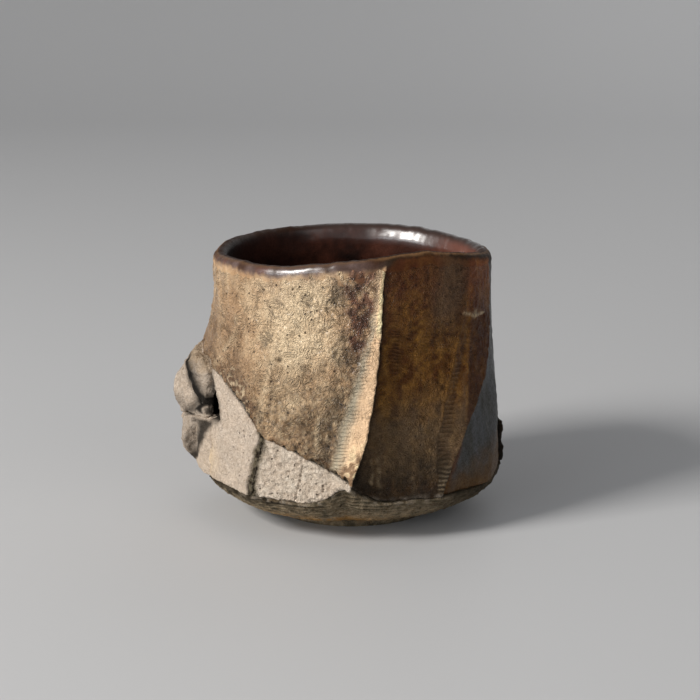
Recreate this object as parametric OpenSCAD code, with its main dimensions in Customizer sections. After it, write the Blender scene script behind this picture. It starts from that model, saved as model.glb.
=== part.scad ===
// Hand-built sake cup: a turned liner wrapped in cut clay slabs, on a turned base,
// with torn and folded clay on its left side. The front of the cup faces -Y.

/* [Cup] */
// Height of the cup to the mean level of its wavy lip
cup_h = 54; // [48:1:70]
// Outer diameter at the lip
lip_d = 55.8; // [50:0.2:66]
// Outer diameter at the belly, where the slabs meet the turned base
belly_d = 60.6; // [56:0.2:72]
// Height of the belly above the table
belly_h = 8.5; // [7:0.5:11]
// Thickness of the rounded lip
lip_t = 2.8; // [2.6:0.1:4]
// Height of the lip's straight side, between its rounded top and the slabs
lip_neck_h = 0.3; // [0.2:0.1:1.5]
// How far the lip rises above its mean level at its highest point
lip_wave = 2.4; // [0.2:0.1:3]
// Thickness of the liner's floor
floor_t = 4; // [3:0.5:6]

/* [Clay slabs] */
// Thickness of the slabs under the lip
slab_lip_t = 1.4; // [1.2:0.1:1.7]
// Thickness of the slabs at the belly
slab_belly_t = 5.8; // [5:0.2:7]
// Height that a slab's edge stands proud of, or falls behind, the round body
step_h = 2; // [0.8:0.2:2.4]
// Height of the knee, where the two bare aprons and the front left slab meet
knee_h = 21.1; // [18:0.5:26]
// Height of the torn edge at the cup's left side
tear_h = 33.3; // [30:0.5:38]
// Height of the front apron's narrow right end, at the foot of the front ridge
apron_tip_h = 0.9; // [0.6:0.1:1.5]
// How far the turned base climbs above the belly under the front ridge
climb_h = 4; // [1:0.5:4.5]
// Slip joint between neighbouring clay parts
joint_gap = 0.15; // [0.1:0.05:0.2]

/* [Base and foot] */
// Outer diameter of the foot ring
foot_d = 32; // [26:1:40]
// Height of the foot ring
foot_h = 1.5; // [1:0.1:2.5]
// Width of the foot ring
foot_w = 4; // [3:0.5:6]
// Depth of the recess inside the foot ring
recess_h = 2.5; // [1:0.1:3]
// Depth of the socket in the base that the liner sits in
socket_h = 2; // [1:0.1:2.2]

/* [Folded clay] */
// Distance that the outer fold stands out from the clay that it lies on
fold_reach = 6.6; // [4:0.1:9]
// Height of the lowest point of the folded clay
fold_low_h = 8.7; // [8.6:0.1:11]
// Height of the crease between the outer and the lower fold, at its left end
crease_h = 18.2; // [17:0.1:20]
// How far the crease climbs to the right
crease_climb_h = 2.6; // [0:0.1:3]
// Height of the tip of the tongue of clay
tongue_tip_h = 23.4; // [22.5:0.1:26]
// How far below the torn edge the folded clay ends
fold_tuck_h = 0.6; // [0.4:0.1:4]
// Thickness of the folds at their torn edges
fold_edge_t = 0.6; // [0.4:0.1:1]
// Clearance between a fold and the clay that it lies on
fold_gap = 0.3; // [0.2:0.05:0.5]

/* [Hidden] */

// Clay and glaze colours
ASH_GOLD = [0.66, 0.53, 0.36];
AMBER_BROWN = [0.33, 0.22, 0.11];
SLATE_GREY = [0.30, 0.31, 0.33];
BARE_CLAY = [0.70, 0.62, 0.53];
TURNED_CLAY = [0.40, 0.33, 0.26];
IRON_RED = [0.32, 0.14, 0.08];

// Columns of facets in each bay of a slab, rows up a slab, and columns round the liner
BAY_COLS = 5;
SLAB_ROWS = 10;
LINER_COLS = 60;
LIP_STEPS = 6;
FOLD_COLS = 14;
FOLD_ROWS = 10;
// Faces of the base's round cuts
ROUND_FACES = 72;

// Corner lines of the body, anticlockwise from the left seam as seen from above: azimuths in
// degrees from the front, positive to the right, at five even heights from belly to lip
corner_angles = [
    [-100, -100, -100, -100, -100],
    [-70, -69, -68, -67, -66],
    [-41.5, -36.4, -33.6, -30, -28],
    [-9, -6.6, 0.2, 7, 10.6],
    [-2.5, 4, 8.5, 11.1, 12.4],
    [-2.5, 4, 8.5, 11.1, 12.4],
    [33.5, 33.8, 41, 53, 56],
    [36, 47, 65, 73.5, 73],
    [36, 47, 65, 73.5, 73],
    [64, 75, 90, 98, 100],
    [93, 100, 112, 122, 126],
    [93, 100, 112, 122, 126],
    [132, 138, 146, 154, 158],
    [170, 176, 184, 191, 195],
    [170, 176, 184, 191, 195],
    [214, 216, 220, 226, 228],
    [260, 260, 260, 260, 260]
];
// How far each corner line stands proud at the same heights, as shares of step_h
corner_shares = [
    [0, 0.2, 0.95, 0.05, 0],
    [0, 0.2, 0.55, 0.05, 0],
    [0.1, 0.2, 0.15, 0, 0],
    [-0.1, -0.25, -0.25, -0.1, 0],
    [0.7, 0.95, 0.6, 0.25, 0],
    [-0.6, -0.7, -0.5, -0.2, 0],
    [-0.6, -0.4, -0.2, 0, 0],
    [-0.15, 0.05, 0.2, 0.1, 0],
    [-0.8, -0.7, -0.5, -0.2, 0],
    [0, 0, -0.05, 0, 0],
    [-0.1, -0.1, -0.1, -0.05, 0],
    [0.4, 0.4, 0.3, 0.15, 0],
    [0, 0, 0, 0, 0],
    [0.6, 0.5, 0.35, 0.2, 0],
    [-0.6, -0.45, -0.3, -0.1, 0],
    [0, 0, 0, 0, 0],
    [0, 0.2, 0.95, 0.05, 0]
];
// The same for the turned base, which runs smoothly under the seams
base_shares = [0, 0, 0.1, -0.1, -0.2, -0.2, -0.6, -0.45, -0.45, 0, 0.1, 0.1, 0, 0, 0, 0, 0];
// Corners that bound each part, by their place in the list above
FRONT_LEFT = [0, 4];
LEFT_APRON = [0, 2];
FRONT_APRON = [2, 4];
FRONT_RIGHT = [5, 7];
RIGHT = [8, 10];
BACK_RIGHT = [11, 13];
BACK_LEFT = [14, 16];
BELLY_PARTS = [LEFT_APRON, FRONT_APRON, FRONT_RIGHT, RIGHT, BACK_RIGHT, BACK_LEFT];
KNEE = 2;
RIDGE = 4;

// Body radius at five even heights: 1 is the belly's radius and 0 the lip's
body_shares = [1, 0.8, 0.38, 0.08, 0];
// How round the wall is between its corners: flat facets at 0, a true arc at 1
belly_round_share = 0.15;
base_round_share = 0.4;
lip_round_share = 1;
front_right_lip_round_share = 0.35;
// Rise of the lip at every 30 degrees from the front, as shares of lip_wave
wave_shares = [0.58, 1, 0.35, -0.4, -0.4, -0.05, 0, -0.05, -0.2, -0.4, -0.17, -0.04];
// Outline of the hollow: depth share from the lip down to the floor, then radius share
hollow_shares = [
    [0.12, 0.99], [0.3, 0.98], [0.5, 0.965], [0.68, 0.935], [0.81, 0.88], [0.9, 0.78],
    [0.96, 0.62], [0.99, 0.42], [1, 0.2]
];
// Outline of the undercut: radius share from the foot to the belly, then height share
undercut_shares = [[0, 0], [0.24, 0.1], [0.46, 0.23], [0.66, 0.4], [0.82, 0.6], [0.93, 0.8]];
// Half width in degrees of the base's climb under the ridge
climb_half_angle = 11.5;
// Overrun of the cuts in the base
cut_over = 1;
// How sharply the slabs thicken and the torn edge falls, as powers
slab_power = 1.6;
tear_power = 2.6;

// Outer surface of each fold at six even heights from its low to its high end: azimuths from
// the left to the right edge, and reaches at the same places as shares of fold_reach
outer_fold_angles = [
    [-112, -106, -99, -91, -85, -80, -75, -71.5],
    [-112, -106, -99, -91, -85.5, -81, -77.5, -75.5],
    [-112, -106, -99, -91, -87, -83.5, -80.5, -79.3],
    [-111, -105.5, -99, -92, -89, -86, -83.3, -82.3],
    [-109, -104, -98.5, -93.5, -91, -88.5, -86.2, -85.3],
    [-105, -101, -97.5, -94.5, -92, -89.5, -87, -85.6]
];
outer_fold_shares = [
    [0.26, 0.52, 0.63, 0.76, 0.63, 0.44, 0.26, 0.1],
    [0.24, 0.6, 0.75, 0.92, 0.78, 0.56, 0.34, 0.13],
    [0.21, 0.57, 0.77, 0.99, 0.87, 0.67, 0.45, 0.13],
    [0.17, 0.47, 0.59, 0.75, 0.73, 0.65, 0.51, 0.12],
    [0.13, 0.27, 0.34, 0.45, 0.47, 0.47, 0.43, 0.11],
    [0.1, 0.08, 0.12, 0.16, 0.18, 0.19, 0.18, 0.14]
];
tongue_angles = [
    [-74.2, -73.9, -73.4, -73, -72.6, -72.2, -71.8, -71.5],
    [-78, -77.5, -76.2, -74.6, -73, -71.5, -70, -69.2],
    [-81, -80.5, -79, -76.5, -74, -71.5, -69.2, -67.8],
    [-83.3, -82.8, -81, -78, -75, -72, -69, -66.9],
    [-84.3, -83.7, -82, -79, -76, -73, -70, -67.6],
    [-83.8, -82.6, -80.8, -79, -77, -75, -73, -71.5]
];
tongue_shares = [
    [0.12, 0.17, 0.18, 0.19, 0.19, 0.17, 0.14, 0.1],
    [0.13, 0.32, 0.36, 0.33, 0.29, 0.23, 0.16, 0.08],
    [0.13, 0.4, 0.48, 0.44, 0.35, 0.25, 0.15, 0.09],
    [0.12, 0.44, 0.54, 0.5, 0.4, 0.29, 0.16, 0.11],
    [0.12, 0.44, 0.53, 0.51, 0.43, 0.32, 0.2, 0.11],
    [0.15, 0.23, 0.29, 0.31, 0.29, 0.26, 0.21, 0.15]
];
lower_fold_angles = [
    [-108, -103, -97, -91, -86, -81, -76, -71],
    [-111, -105, -98, -91, -86.5, -85, -79, -70.5],
    [-112, -106, -98.5, -91, -85, -84.5, -78.5, -70],
    [-112, -106, -98.5, -90, -83.5, -83.5, -78, -69.5],
    [-112, -106, -98.5, -90, -83, -81.5, -76.5, -69.5],
    [-112, -106, -98.5, -90, -84, -79, -74.5, -70]
];
lower_fold_shares = [
    [0.24, 0.15, 0.14, 0.2, 0.22, 0.21, 0.16, 0.07],
    [0.27, 0.36, 0.42, 0.56, 0.52, 0.26, 0.21, 0.07],
    [0.28, 0.47, 0.58, 0.73, 0.69, 0.28, 0.24, 0.06],
    [0.27, 0.47, 0.58, 0.73, 0.7, 0.28, 0.25, 0.06],
    [0.27, 0.46, 0.56, 0.7, 0.63, 0.3, 0.24, 0.07],
    [0.26, 0.43, 0.51, 0.66, 0.57, 0.36, 0.23, 0.08]
];
// Azimuths between which the crease climbs
crease_angles = [-112, -70];

lip_r = lip_d / 2;
belly_r = belly_d / 2;
foot_r = foot_d / 2;
lip_bead_r = lip_t / 2;
lip_band = lip_bead_r + lip_neck_h;
body_h = cup_h - belly_h;
liner_low_h = belly_h - socket_h + joint_gap;
floor_h = liner_low_h + floor_t;
ridge_foot_h = belly_h + climb_h + apron_tip_h;
half_gap = joint_gap / 2;
fold_top_h = tear_h - fold_tuck_h;
half_fold_gap = fold_gap / 2;
socket_r = belly_r - slab_belly_t + joint_gap;

function mix(low, high, share) = low + (high - low) * share;
function clamp01(share) = max(0, min(1, share));

// Smooth curve through evenly spaced values
function curve(v0, v1, v2, v3, s) =
    (2 * v1 + (v2 - v0) * s + (2 * v0 - 5 * v1 + 4 * v2 - v3) * s ^ 2
        + (3 * v1 - v0 - 3 * v2 + v3) * s ^ 3) / 2;
function through(values, share) =
    let (last = len(values) - 1, place = clamp01(share) * last,
        i = min(floor(place), last - 1), s = place - i)
    curve(values[max(i - 1, 0)], values[i], values[i + 1], values[min(i + 2, last)], s);
function around(values, angle) =
    let (n = len(values), place = (angle + 360) / 360 * n, i = floor(place), s = place - i)
    curve(values[(i - 1) % n], values[i % n], values[(i + 1) % n], values[(i + 2) % n], s);

// Azimuth is measured from the front, positive to the right
function at(azimuth, r, z) = [r * sin(azimuth), -r * cos(azimuth), z];
function height_share(z) = clamp01((z - belly_h) / body_h);
function half_gap_angle(r) = half_gap / r * 180 / PI;

// The round body, and the corner lines on it
function body_r(share) = mix(lip_r, belly_r, through(body_shares, share));
function corner_a(k, share) = through(corner_angles[k], share);
function corner_r(k, share) = body_r(share) + step_h * through(corner_shares[k], share);

// Outer surface between two corners: a wire-cut chord that turns rounder up the wall
function roundness(k, share) =
    let (front_right = k >= FRONT_RIGHT[0] && k < FRONT_RIGHT[1])
    mix(belly_round_share, front_right ? front_right_lip_round_share : lip_round_share, share);
function chord_r(a0, r0, a1, r1, a) = r0 * r1 * sin(a1 - a0) / (r0 * sin(a - a0) + r1 * sin(a1 - a));
function bay_a(k, u, share) = mix(corner_a(k, share), corner_a(k + 1, share), u);
function bay_r(k, u, share) =
    let (r0 = corner_r(k, share), r1 = corner_r(k + 1, share),
        a0 = corner_a(k, share), a1 = corner_a(k + 1, share))
    mix(chord_r(a0, r0, a1, r1, mix(a0, a1, u)), mix(r0, r1, u), roundness(k, share));
function is_bay(k) = k != RIDGE && k != FRONT_RIGHT[1] && k != RIGHT[1] && k != BACK_RIGHT[1];
function wall_r(azimuth, share) =
    let (found = [for (k = [0 : len(corner_angles) - 2])
        let (a0 = corner_a(k, share), a1 = corner_a(k + 1, share))
        if (is_bay(k) && azimuth >= a0 && azimuth < a1) bay_r(k, (azimuth - a0) / (a1 - a0), share)])
    found[0];
function turned(azimuth) =
    let (first = corner_angles[0][0])
    azimuth >= first + 360 ? azimuth - 360 : azimuth < first ? azimuth + 360 : azimuth;

// Outer radius of the base's edge between two corners
function base_corner_r(k) = belly_r + step_h * base_shares[k];
function base_r(k, u, share) =
    let (r0 = base_corner_r(k), r1 = base_corner_r(k + 1),
        a0 = corner_a(k, share), a1 = corner_a(k + 1, share))
    mix(chord_r(a0, r0, a1, r1, mix(a0, a1, u)), mix(r0, r1, u), base_round_share);

// The lip is pressed flatter over the front right slab, and the liner follows it
function lip_out_r(azimuth) = wall_r(turned(azimuth), 1);
function dent(azimuth) = lip_r - lip_out_r(azimuth);
function slab_t(share) = mix(slab_lip_t, slab_belly_t, (1 - share) ^ slab_power);
function liner_r(azimuth, share) = body_r(share) - slab_t(share) - dent(azimuth) * share ^ 2;

// Heights of the edges
function lip_z(azimuth) = cup_h + lip_wave * around(wave_shares, azimuth);
function slab_top_z(azimuth) = lip_z(azimuth) - lip_band;
function belly_z(azimuth) =
    belly_h + climb_h * max(0, 1 - abs(azimuth - corner_a(RIDGE, 0)) / climb_half_angle);
function tear_z(azimuth) =
    let (left_a = corner_a(0, 0), share = height_share(knee_h), knee_a = corner_a(KNEE, share),
        foot_a = corner_a(RIDGE, height_share(ridge_foot_h)))
    azimuth < knee_a
        ? mix(tear_h, knee_h, clamp01((azimuth - left_a) / (knee_a - left_a)) ^ tear_power)
        : mix(knee_h, ridge_foot_h, clamp01((azimuth - knee_a) / (foot_a - knee_a)));

// Height at which a column of a bay meets an edge whose height changes with azimuth
function settle(k, u, edge, z, tries = 6) =
    tries == 0 ? z : settle(k, u, edge, edge(bay_a(k, u, height_share(z))), tries - 1);

// Columns of a part, each as [corner, share of the bay, share of the part]
function part_cols(part) =
    let (bays = part[1] - part[0], n = bays * BAY_COLS)
    [for (i = [0 : n]) let (k = min(floor(i / BAY_COLS), bays - 1))
        [part[0] + k, i / BAY_COLS - k, i / n]];

// Azimuth of a column, drawn in by half a slip joint at the part's sides
function col_a(col, share) =
    bay_a(col[0], col[1], share) + half_gap_angle(body_r(share)) * (1 - 2 * col[2]);

// Closed solid between an outer and an inner sheet of points, each a list of columns
module sheet_solid(outer, inner) {
    cols = len(outer);
    rows = len(outer[0]);
    far = cols * rows;
    function id(c, r) = c * rows + r;
    points = [for (sheet = [outer, inner]) for (column = sheet) for (p = column) p];
    skins = [for (c = [0 : cols - 2]) for (r = [0 : rows - 2])
        let (a = id(c, r), b = id(c + 1, r), d = id(c, r + 1), e = id(c + 1, r + 1))
        each [[a, e, b], [a, d, e], [far + a, far + b, far + e], [far + a, far + e, far + d]]];
    low_high = [for (c = [0 : cols - 2])
        let (a = id(c, 0), b = id(c + 1, 0), d = id(c, rows - 1), e = id(c + 1, rows - 1))
        each [[a, b, far + b], [a, far + b, far + a], [d, far + e, e], [d, far + d, far + e]]];
    sides = [for (r = [0 : rows - 2])
        let (a = id(0, r), d = id(0, r + 1), b = id(cols - 1, r), e = id(cols - 1, r + 1))
        each [[a, far + d, d], [a, far + a, far + d], [b, e, far + e], [b, far + e, far + b]]];
    polyhedron(points, concat(skins, low_high, sides));
}

// Closed solid from outlines that run from one point on the axis to another, one a column
module ring_solid(outlines, low_z, high_z) {
    cols = len(outlines);
    rows = len(outlines[0]);
    low = cols * rows;
    high = low + 1;
    function id(c, r) = (c % cols) * rows + r;
    points = concat([for (column = outlines) for (p = column) p], [[0, 0, low_z], [0, 0, high_z]]);
    skin = [for (c = [0 : cols - 1]) for (r = [0 : rows - 2])
        let (a = id(c, r), b = id(c + 1, r), d = id(c, r + 1), e = id(c + 1, r + 1))
        each [[a, e, b], [a, d, e]]];
    caps = [for (c = [0 : cols - 1])
        each [[low, id(c, 0), id(c + 1, 0)], [high, id(c + 1, rows - 1), id(c, rows - 1)]]];
    polyhedron(points, concat(skin, caps));
}

// A slab of the wall, from its low edge to its high edge, wrapped on the liner
module slab(part, low_edge, high_edge) {
    cols = part_cols(part);
    function z_at(col, r) =
        let (low = settle(col[0], col[1], low_edge, knee_h) + half_gap,
            high = settle(col[0], col[1], high_edge, knee_h) - half_gap)
        mix(low, high, r / SLAB_ROWS);
    outer = [for (col = cols) [for (r = [0 : SLAB_ROWS])
        let (z = z_at(col, r), share = height_share(z))
        at(col_a(col, share), bay_r(col[0], col[1], share), z)]];
    inner = [for (col = cols) [for (r = [0 : SLAB_ROWS])
        let (z = z_at(col, r), share = height_share(z), a = col_a(col, share))
        at(a, liner_r(a, share) + joint_gap, z)]];
    sheet_solid(outer, inner);
}

function belly_edge() = function (a) belly_z(a);
function tear_edge() = function (a) tear_z(a);
function lip_edge() = function (a) slab_top_z(a);

module front_left_slab() { color(ASH_GOLD) slab(FRONT_LEFT, tear_edge(), lip_edge()); }
module front_right_slab() { color(AMBER_BROWN) slab(FRONT_RIGHT, belly_edge(), lip_edge()); }
module right_slab() { color(SLATE_GREY) slab(RIGHT, belly_edge(), lip_edge()); }
module back_right_slab() { color(AMBER_BROWN) slab(BACK_RIGHT, belly_edge(), lip_edge()); }
module back_left_slab() { color(ASH_GOLD) slab(BACK_LEFT, belly_edge(), lip_edge()); }
module left_apron() { color(BARE_CLAY) slab(LEFT_APRON, belly_edge(), tear_edge()); }
module front_apron() { color(BARE_CLAY) slab(FRONT_APRON, belly_edge(), tear_edge()); }

// The turned liner: floor, wall and the rounded lip that rolls over the slabs' top edges
module liner_cup() {
    function outline(a) =
        let (lip = lip_out_r(a), ledge = slab_top_z(a) + half_gap, bead_z = lip_z(a) - lip_bead_r,
            mouth = lip - lip_t, depth = bead_z - floor_h)
        concat(
            [at(a, liner_r(a, 0), liner_low_h)],
            [for (r = [0 : SLAB_ROWS])
                let (z = mix(belly_h, ledge, r / SLAB_ROWS)) at(a, liner_r(a, height_share(z)), z)],
            [at(a, lip, ledge)],
            [for (s = [0 : LIP_STEPS])
                let (turn = 180 * s / LIP_STEPS)
                at(a, lip + lip_bead_r * (cos(turn) - 1), bead_z + lip_bead_r * sin(turn))],
            [for (h = hollow_shares) at(a, (mouth + dent(a) * h[0]) * h[1], bead_z - depth * h[0])]
        );
    color(IRON_RED)
        ring_solid([for (c = [0 : LINER_COLS - 1]) outline(360 * c / LINER_COLS)], liner_low_h, floor_h);
}

// The turned base: foot ring, undercut and the socket for the liner
module turned_base() {
    function outline(a, r_belly) =
        let (z_belly = belly_z(a) - half_gap)
        concat(
            [at(a, foot_r, -cut_over)],
            [for (s = undercut_shares)
                at(a, mix(foot_r, r_belly, s[0]), mix(foot_h, z_belly, s[1]))],
            [at(a, r_belly, z_belly), at(a, socket_r - cut_over, z_belly)]
        );
    outlines = [for (part = BELLY_PARTS) for (col = part_cols(part))
        let (share = height_share(settle(col[0], col[1], belly_edge(), knee_h)))
        outline(col_a(col, share), base_r(col[0], col[1], share))];
    color(TURNED_CLAY)
        difference() {
            ring_solid(outlines, -cut_over, belly_h);
            translate([0, 0, -2 * cut_over]) cylinder(h = 2 * cut_over, r = belly_r, $fn = ROUND_FACES);
            translate([0, 0, -cut_over])
                cylinder(h = recess_h + cut_over, r = foot_r - foot_w, $fn = ROUND_FACES);
            translate([0, 0, belly_h - socket_h])
                cylinder(h = socket_h + climb_h + cut_over, r = socket_r, $fn = ROUND_FACES);
        }
}

// Height of the crease between the outer and the lower fold
function crease_z(a) =
    crease_h + crease_climb_h * clamp01((a - crease_angles[0]) / (crease_angles[1] - crease_angles[0]));

// A fold of torn clay that lies on the wall, from its low edge to its high edge
module fold(angles, reach_shares, low_edge, high_edge) {
    function spread(table, c, v) = through([for (level = table) through(level, c / FOLD_COLS)], v);
    function z_at(c, v) = mix(low_edge(spread(angles, c, 0)), high_edge(spread(angles, c, 1)), v);
    function inner_r(a, z) = wall_r(turned(a), height_share(z)) + fold_gap;
    function grid(make) = [for (c = [0 : FOLD_COLS]) [for (r = [0 : FOLD_ROWS]) make(c, r / FOLD_ROWS)]];
    function inner_point(c, v) =
        let (a = mix(spread(angles, 0, v), spread(angles, FOLD_COLS, v), c / FOLD_COLS), z = z_at(c, v))
        at(a, inner_r(a, z), z);
    function outer_point(c, v) =
        let (a = spread(angles, c, v), z = z_at(c, v))
        at(a, inner_r(a, z) + max(fold_edge_t, fold_reach * spread(reach_shares, c, v)), z);
    sheet_solid(grid(function (c, v) outer_point(c, v)), grid(function (c, v) inner_point(c, v)));
}

function fold_top_edge() = function (a) fold_top_h;
function fold_low_edge() = function (a) fold_low_h;
function tongue_tip_edge() = function (a) tongue_tip_h;
function above_crease() = function (a) crease_z(a) + half_fold_gap;
function below_crease() = function (a) crease_z(a) - half_fold_gap;

module fold_outer() {
    color(BARE_CLAY) fold(outer_fold_angles, outer_fold_shares, above_crease(), fold_top_edge());
}
module fold_tongue() {
    color(BARE_CLAY) fold(tongue_angles, tongue_shares, tongue_tip_edge(), fold_top_edge());
}
module fold_lower() {
    color(BARE_CLAY) fold(lower_fold_angles, lower_fold_shares, fold_low_edge(), below_crease());
}

liner_cup();
front_left_slab();
front_right_slab();
right_slab();
back_right_slab();
back_left_slab();
left_apron();
front_apron();
turned_base();
fold_outer();
fold_tongue();
fold_lower();
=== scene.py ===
"""Looks of a hand-built sake cup: glazed and bare clay on a plain pale floor.

Every piece of clay starts as a copy of its CAD solid, is refined to an even mesh, and gets its
relief and its glaze from fields that run on from one piece to the next.
"""

import copy
import math
from types import SimpleNamespace

import bmesh
import bpy
import numpy as np
from bpy.props import FloatProperty, FloatVectorProperty, PointerProperty
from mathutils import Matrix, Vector
from mathutils.bvhtree import BVHTree


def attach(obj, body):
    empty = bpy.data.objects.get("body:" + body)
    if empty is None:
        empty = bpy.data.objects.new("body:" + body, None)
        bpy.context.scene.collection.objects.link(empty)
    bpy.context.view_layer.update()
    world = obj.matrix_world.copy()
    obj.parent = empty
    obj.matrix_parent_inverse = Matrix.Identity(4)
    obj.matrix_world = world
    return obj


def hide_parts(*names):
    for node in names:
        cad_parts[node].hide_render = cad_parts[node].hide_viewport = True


bl_info = {
    "name": "Sake cup",
    "version": (1, 0, 0),
    "blender": (4, 5, 0),
    "location": "3D View > Sidebar > Sake cup",
    "description": "Models and glazes a hand-built sake cup",
    "category": "Add Mesh",
}

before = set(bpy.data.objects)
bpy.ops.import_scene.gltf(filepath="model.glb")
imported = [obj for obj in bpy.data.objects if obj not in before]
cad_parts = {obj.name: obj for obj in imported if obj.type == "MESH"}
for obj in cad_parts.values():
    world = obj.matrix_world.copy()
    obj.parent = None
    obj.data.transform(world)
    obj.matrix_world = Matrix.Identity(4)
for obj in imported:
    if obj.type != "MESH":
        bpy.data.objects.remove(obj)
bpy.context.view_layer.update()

MM = 0.001
BODY = "root"
WELD = 0.002 * MM
# Closes the slip joints between neighbouring pieces of clay, in millimetres
JOINT_FILL = 0.09
# Radius in millimetres of the drum on which the shared fields of the clay are drawn, and the
# length of a degree round it
DRUM = 29.0
ARC = DRUM * math.pi / 180

# Heights in millimetres at which the seams' azimuths are given, and the azimuths in degrees
# from the front, positive to the right; the torn seam is points of azimuth and height
SEAM_Z = (8.5, 19.9, 31.25, 42.6, 54.0)
STRIP_LEFT = (-9.0, -6.6, 0.2, 7.0, 10.6)
RIDGE = (-2.5, 4.0, 8.5, 11.1, 12.4)
FACET_EDGE = (33.5, 33.8, 41.0, 50.5, 53.0)
RIGHT_SEAM = (36.0, 47.0, 65.0, 73.5, 73.0)
BACK_SEAM = (93.0, 100.0, 112.0, 122.0, 126.0)
LAST_SEAM = (170.0, 176.0, 184.0, 191.0, 195.0)
TORN_SEAM = ((-41.6, 8.9), (-40.1, 12.8), (-37.8, 17.0), (-36.0, 21.1))


def colour(label, value):
    """A colour property of the cup."""
    return FloatVectorProperty(
        name=label, description=label, subtype="COLOR", size=3, min=0.0, max=1.0, default=value
    )


def length(label, value, low, high):
    """A length property of the cup, in metres."""
    return FloatProperty(
        name=label, description=label, default=value, min=low, max=high, subtype="DISTANCE", unit="LENGTH"
    )


class SAKECUP_PG_clay(bpy.types.PropertyGroup):
    """Sizes of the clay's surface."""

    front_grain: length("Mesh size of the front slabs", 0.21 * MM, 0.15 * MM, 1.0 * MM)
    back_grain: length("Mesh size of the other slabs", 0.27 * MM, 0.2 * MM, 1.0 * MM)
    liner_grain: length("Mesh size of the liner", 0.36 * MM, 0.3 * MM, 1.0 * MM)
    fold_grain: length("Mesh size of the folds", 0.2 * MM, 0.15 * MM, 0.6 * MM)
    wobble: length("Unevenness of the hand-built wall", 0.16 * MM, 0.0, 0.5 * MM)
    wander: length("How far the seams wander", 0.15 * MM, 0.0, 0.5 * MM)
    chatter_pitch: length("Pitch of the knife's chatter marks", 0.68 * MM, 0.4 * MM, 1.5 * MM)
    ring_pitch: length("Pitch of the turning rings on the base", 0.8 * MM, 0.5 * MM, 3.0 * MM)
    lip_smear: length("How far the lip's clay is smeared down over the slabs", 3.2 * MM, 1.0 * MM, 6.0 * MM)


class SAKECUP_PG_glaze(bpy.types.PropertyGroup):
    """Colours of the glazes and of the bare clay."""

    ash_gold: colour("Golden ash glaze", (0.66, 0.42, 0.23))
    ash_cream: colour("Pale ash glaze", (0.98, 0.755, 0.485))
    ash_brown: colour("Brown ash glaze", (0.35, 0.215, 0.12))
    ash_umber: colour("Thin ash glaze over dark clay", (0.17, 0.125, 0.075))
    iron_flush: colour("Red iron flush", (0.16, 0.05, 0.028))
    lip_brown: colour("Glaze worn thin on the lip", (0.06, 0.024, 0.011))
    # Mauve glaze under the lip, which also stands in for its sheen as a painted reflection
    lip_mauve_sheen: colour("Glassy glaze under the lip", (0.17, 0.115, 0.105))
    inner_red: colour("Glaze inside the cup", (0.05, 0.009, 0.003))
    amber: colour("Amber glaze", (0.11, 0.036, 0.003))
    amber_gold: colour("Pale amber glaze", (0.38, 0.185, 0.035))
    char: colour("Scorched clay", (0.02, 0.014, 0.008))
    slate: colour("Blue-grey glaze", (0.07, 0.07, 0.065))
    slate_pale: colour("Pale blue-grey glaze", (0.12, 0.13, 0.145))
    bare: colour("Bare clay", (0.72, 0.595, 0.475))
    bare_grey: colour("Rough bare clay", (0.83, 0.725, 0.60))
    turned: colour("Turned clay of the base", (0.34, 0.285, 0.19))
    toast: colour("Toasted edge of the glaze", (0.30, 0.16, 0.07))


class SAKECUP_PG_stage(bpy.types.PropertyGroup):
    """The floor, the lamps and the camera."""

    floor_tint: colour("Floor and backdrop", (0.58, 0.58, 0.585))
    camera_distance: length("Distance of the camera", 394 * MM, 0.1, 2.0)
    camera_height: FloatProperty(
        name="Camera elevation",
        description="Angle of the camera above the horizon",
        default=math.radians(13),
        subtype="ANGLE",
        unit="ROTATION",
    )


# Fields and masks on the clay, for arrays of points in millimetres


def polar(p):
    """Azimuth in degrees from the front, distance from the axis and height of points."""
    return np.degrees(np.arctan2(p[:, 0], -p[:, 1])), np.hypot(p[:, 0], p[:, 1]), p[:, 2]


def smooth(low, high, value):
    """Rises smoothly from 0 to 1 between low and high, or falls if high is the lower one."""
    t = np.clip((value - low) / (high - low), 0, 1)
    return t * t * (3 - 2 * t)


def mix(first, second, share):
    """Blends two colours or arrays of colours by a share between 0 and 1."""
    share = np.clip(np.atleast_1d(share), 0, 1)[:, None]
    return np.asarray(first) * (1 - share) + np.asarray(second) * share


def bell(x, width):
    """A soft hump, 1 at 0."""
    return np.exp(-((x / width) ** 2))


def blob(a, z, centre, spread):
    """A soft patch round an azimuth and a height."""
    return np.exp(-(((a - centre[0]) / spread[0]) ** 2) - ((z - centre[1]) / spread[1]) ** 2)


def seam(azimuths, z):
    """Azimuth of a seam at a height."""
    return np.interp(z, SEAM_Z, azimuths)


def line_at(line, z):
    """Azimuth at a height of a line through points of azimuth and height."""
    azimuths, heights = zip(*sorted(line, key=lambda point: point[1]))
    return np.interp(z, heights, azimuths)


def scatter(i, j, k, seed):
    """A repeatable random number between 0 and 1 for each cell of a lattice."""
    n = (i * 374761393 + j * 668265263 + k * 1274126177 + seed * 974711) & 0xFFFFFFFF
    n = ((n ^ (n >> 13)) * 1103515245) & 0xFFFFFFFF
    n = ((n ^ (n >> 15)) * 668265263) & 0xFFFFFFFF
    return (n ^ (n >> 16)) / 0xFFFFFFFF


def noise(p, size, seed=0):
    """Smooth noise between -1 and 1, with lumps of about the given size."""
    q = p / size + 100.0
    cell = np.floor(q).astype(np.int64)
    t = q - cell
    t = t * t * (3 - 2 * t)
    total = np.zeros(len(p))
    for corner in np.ndindex(2, 2, 2):
        weight = np.abs(1 - np.array(corner) - t).prod(1)
        total += weight * scatter(*(cell + corner).T, seed)
    return total * 2 - 1


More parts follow.
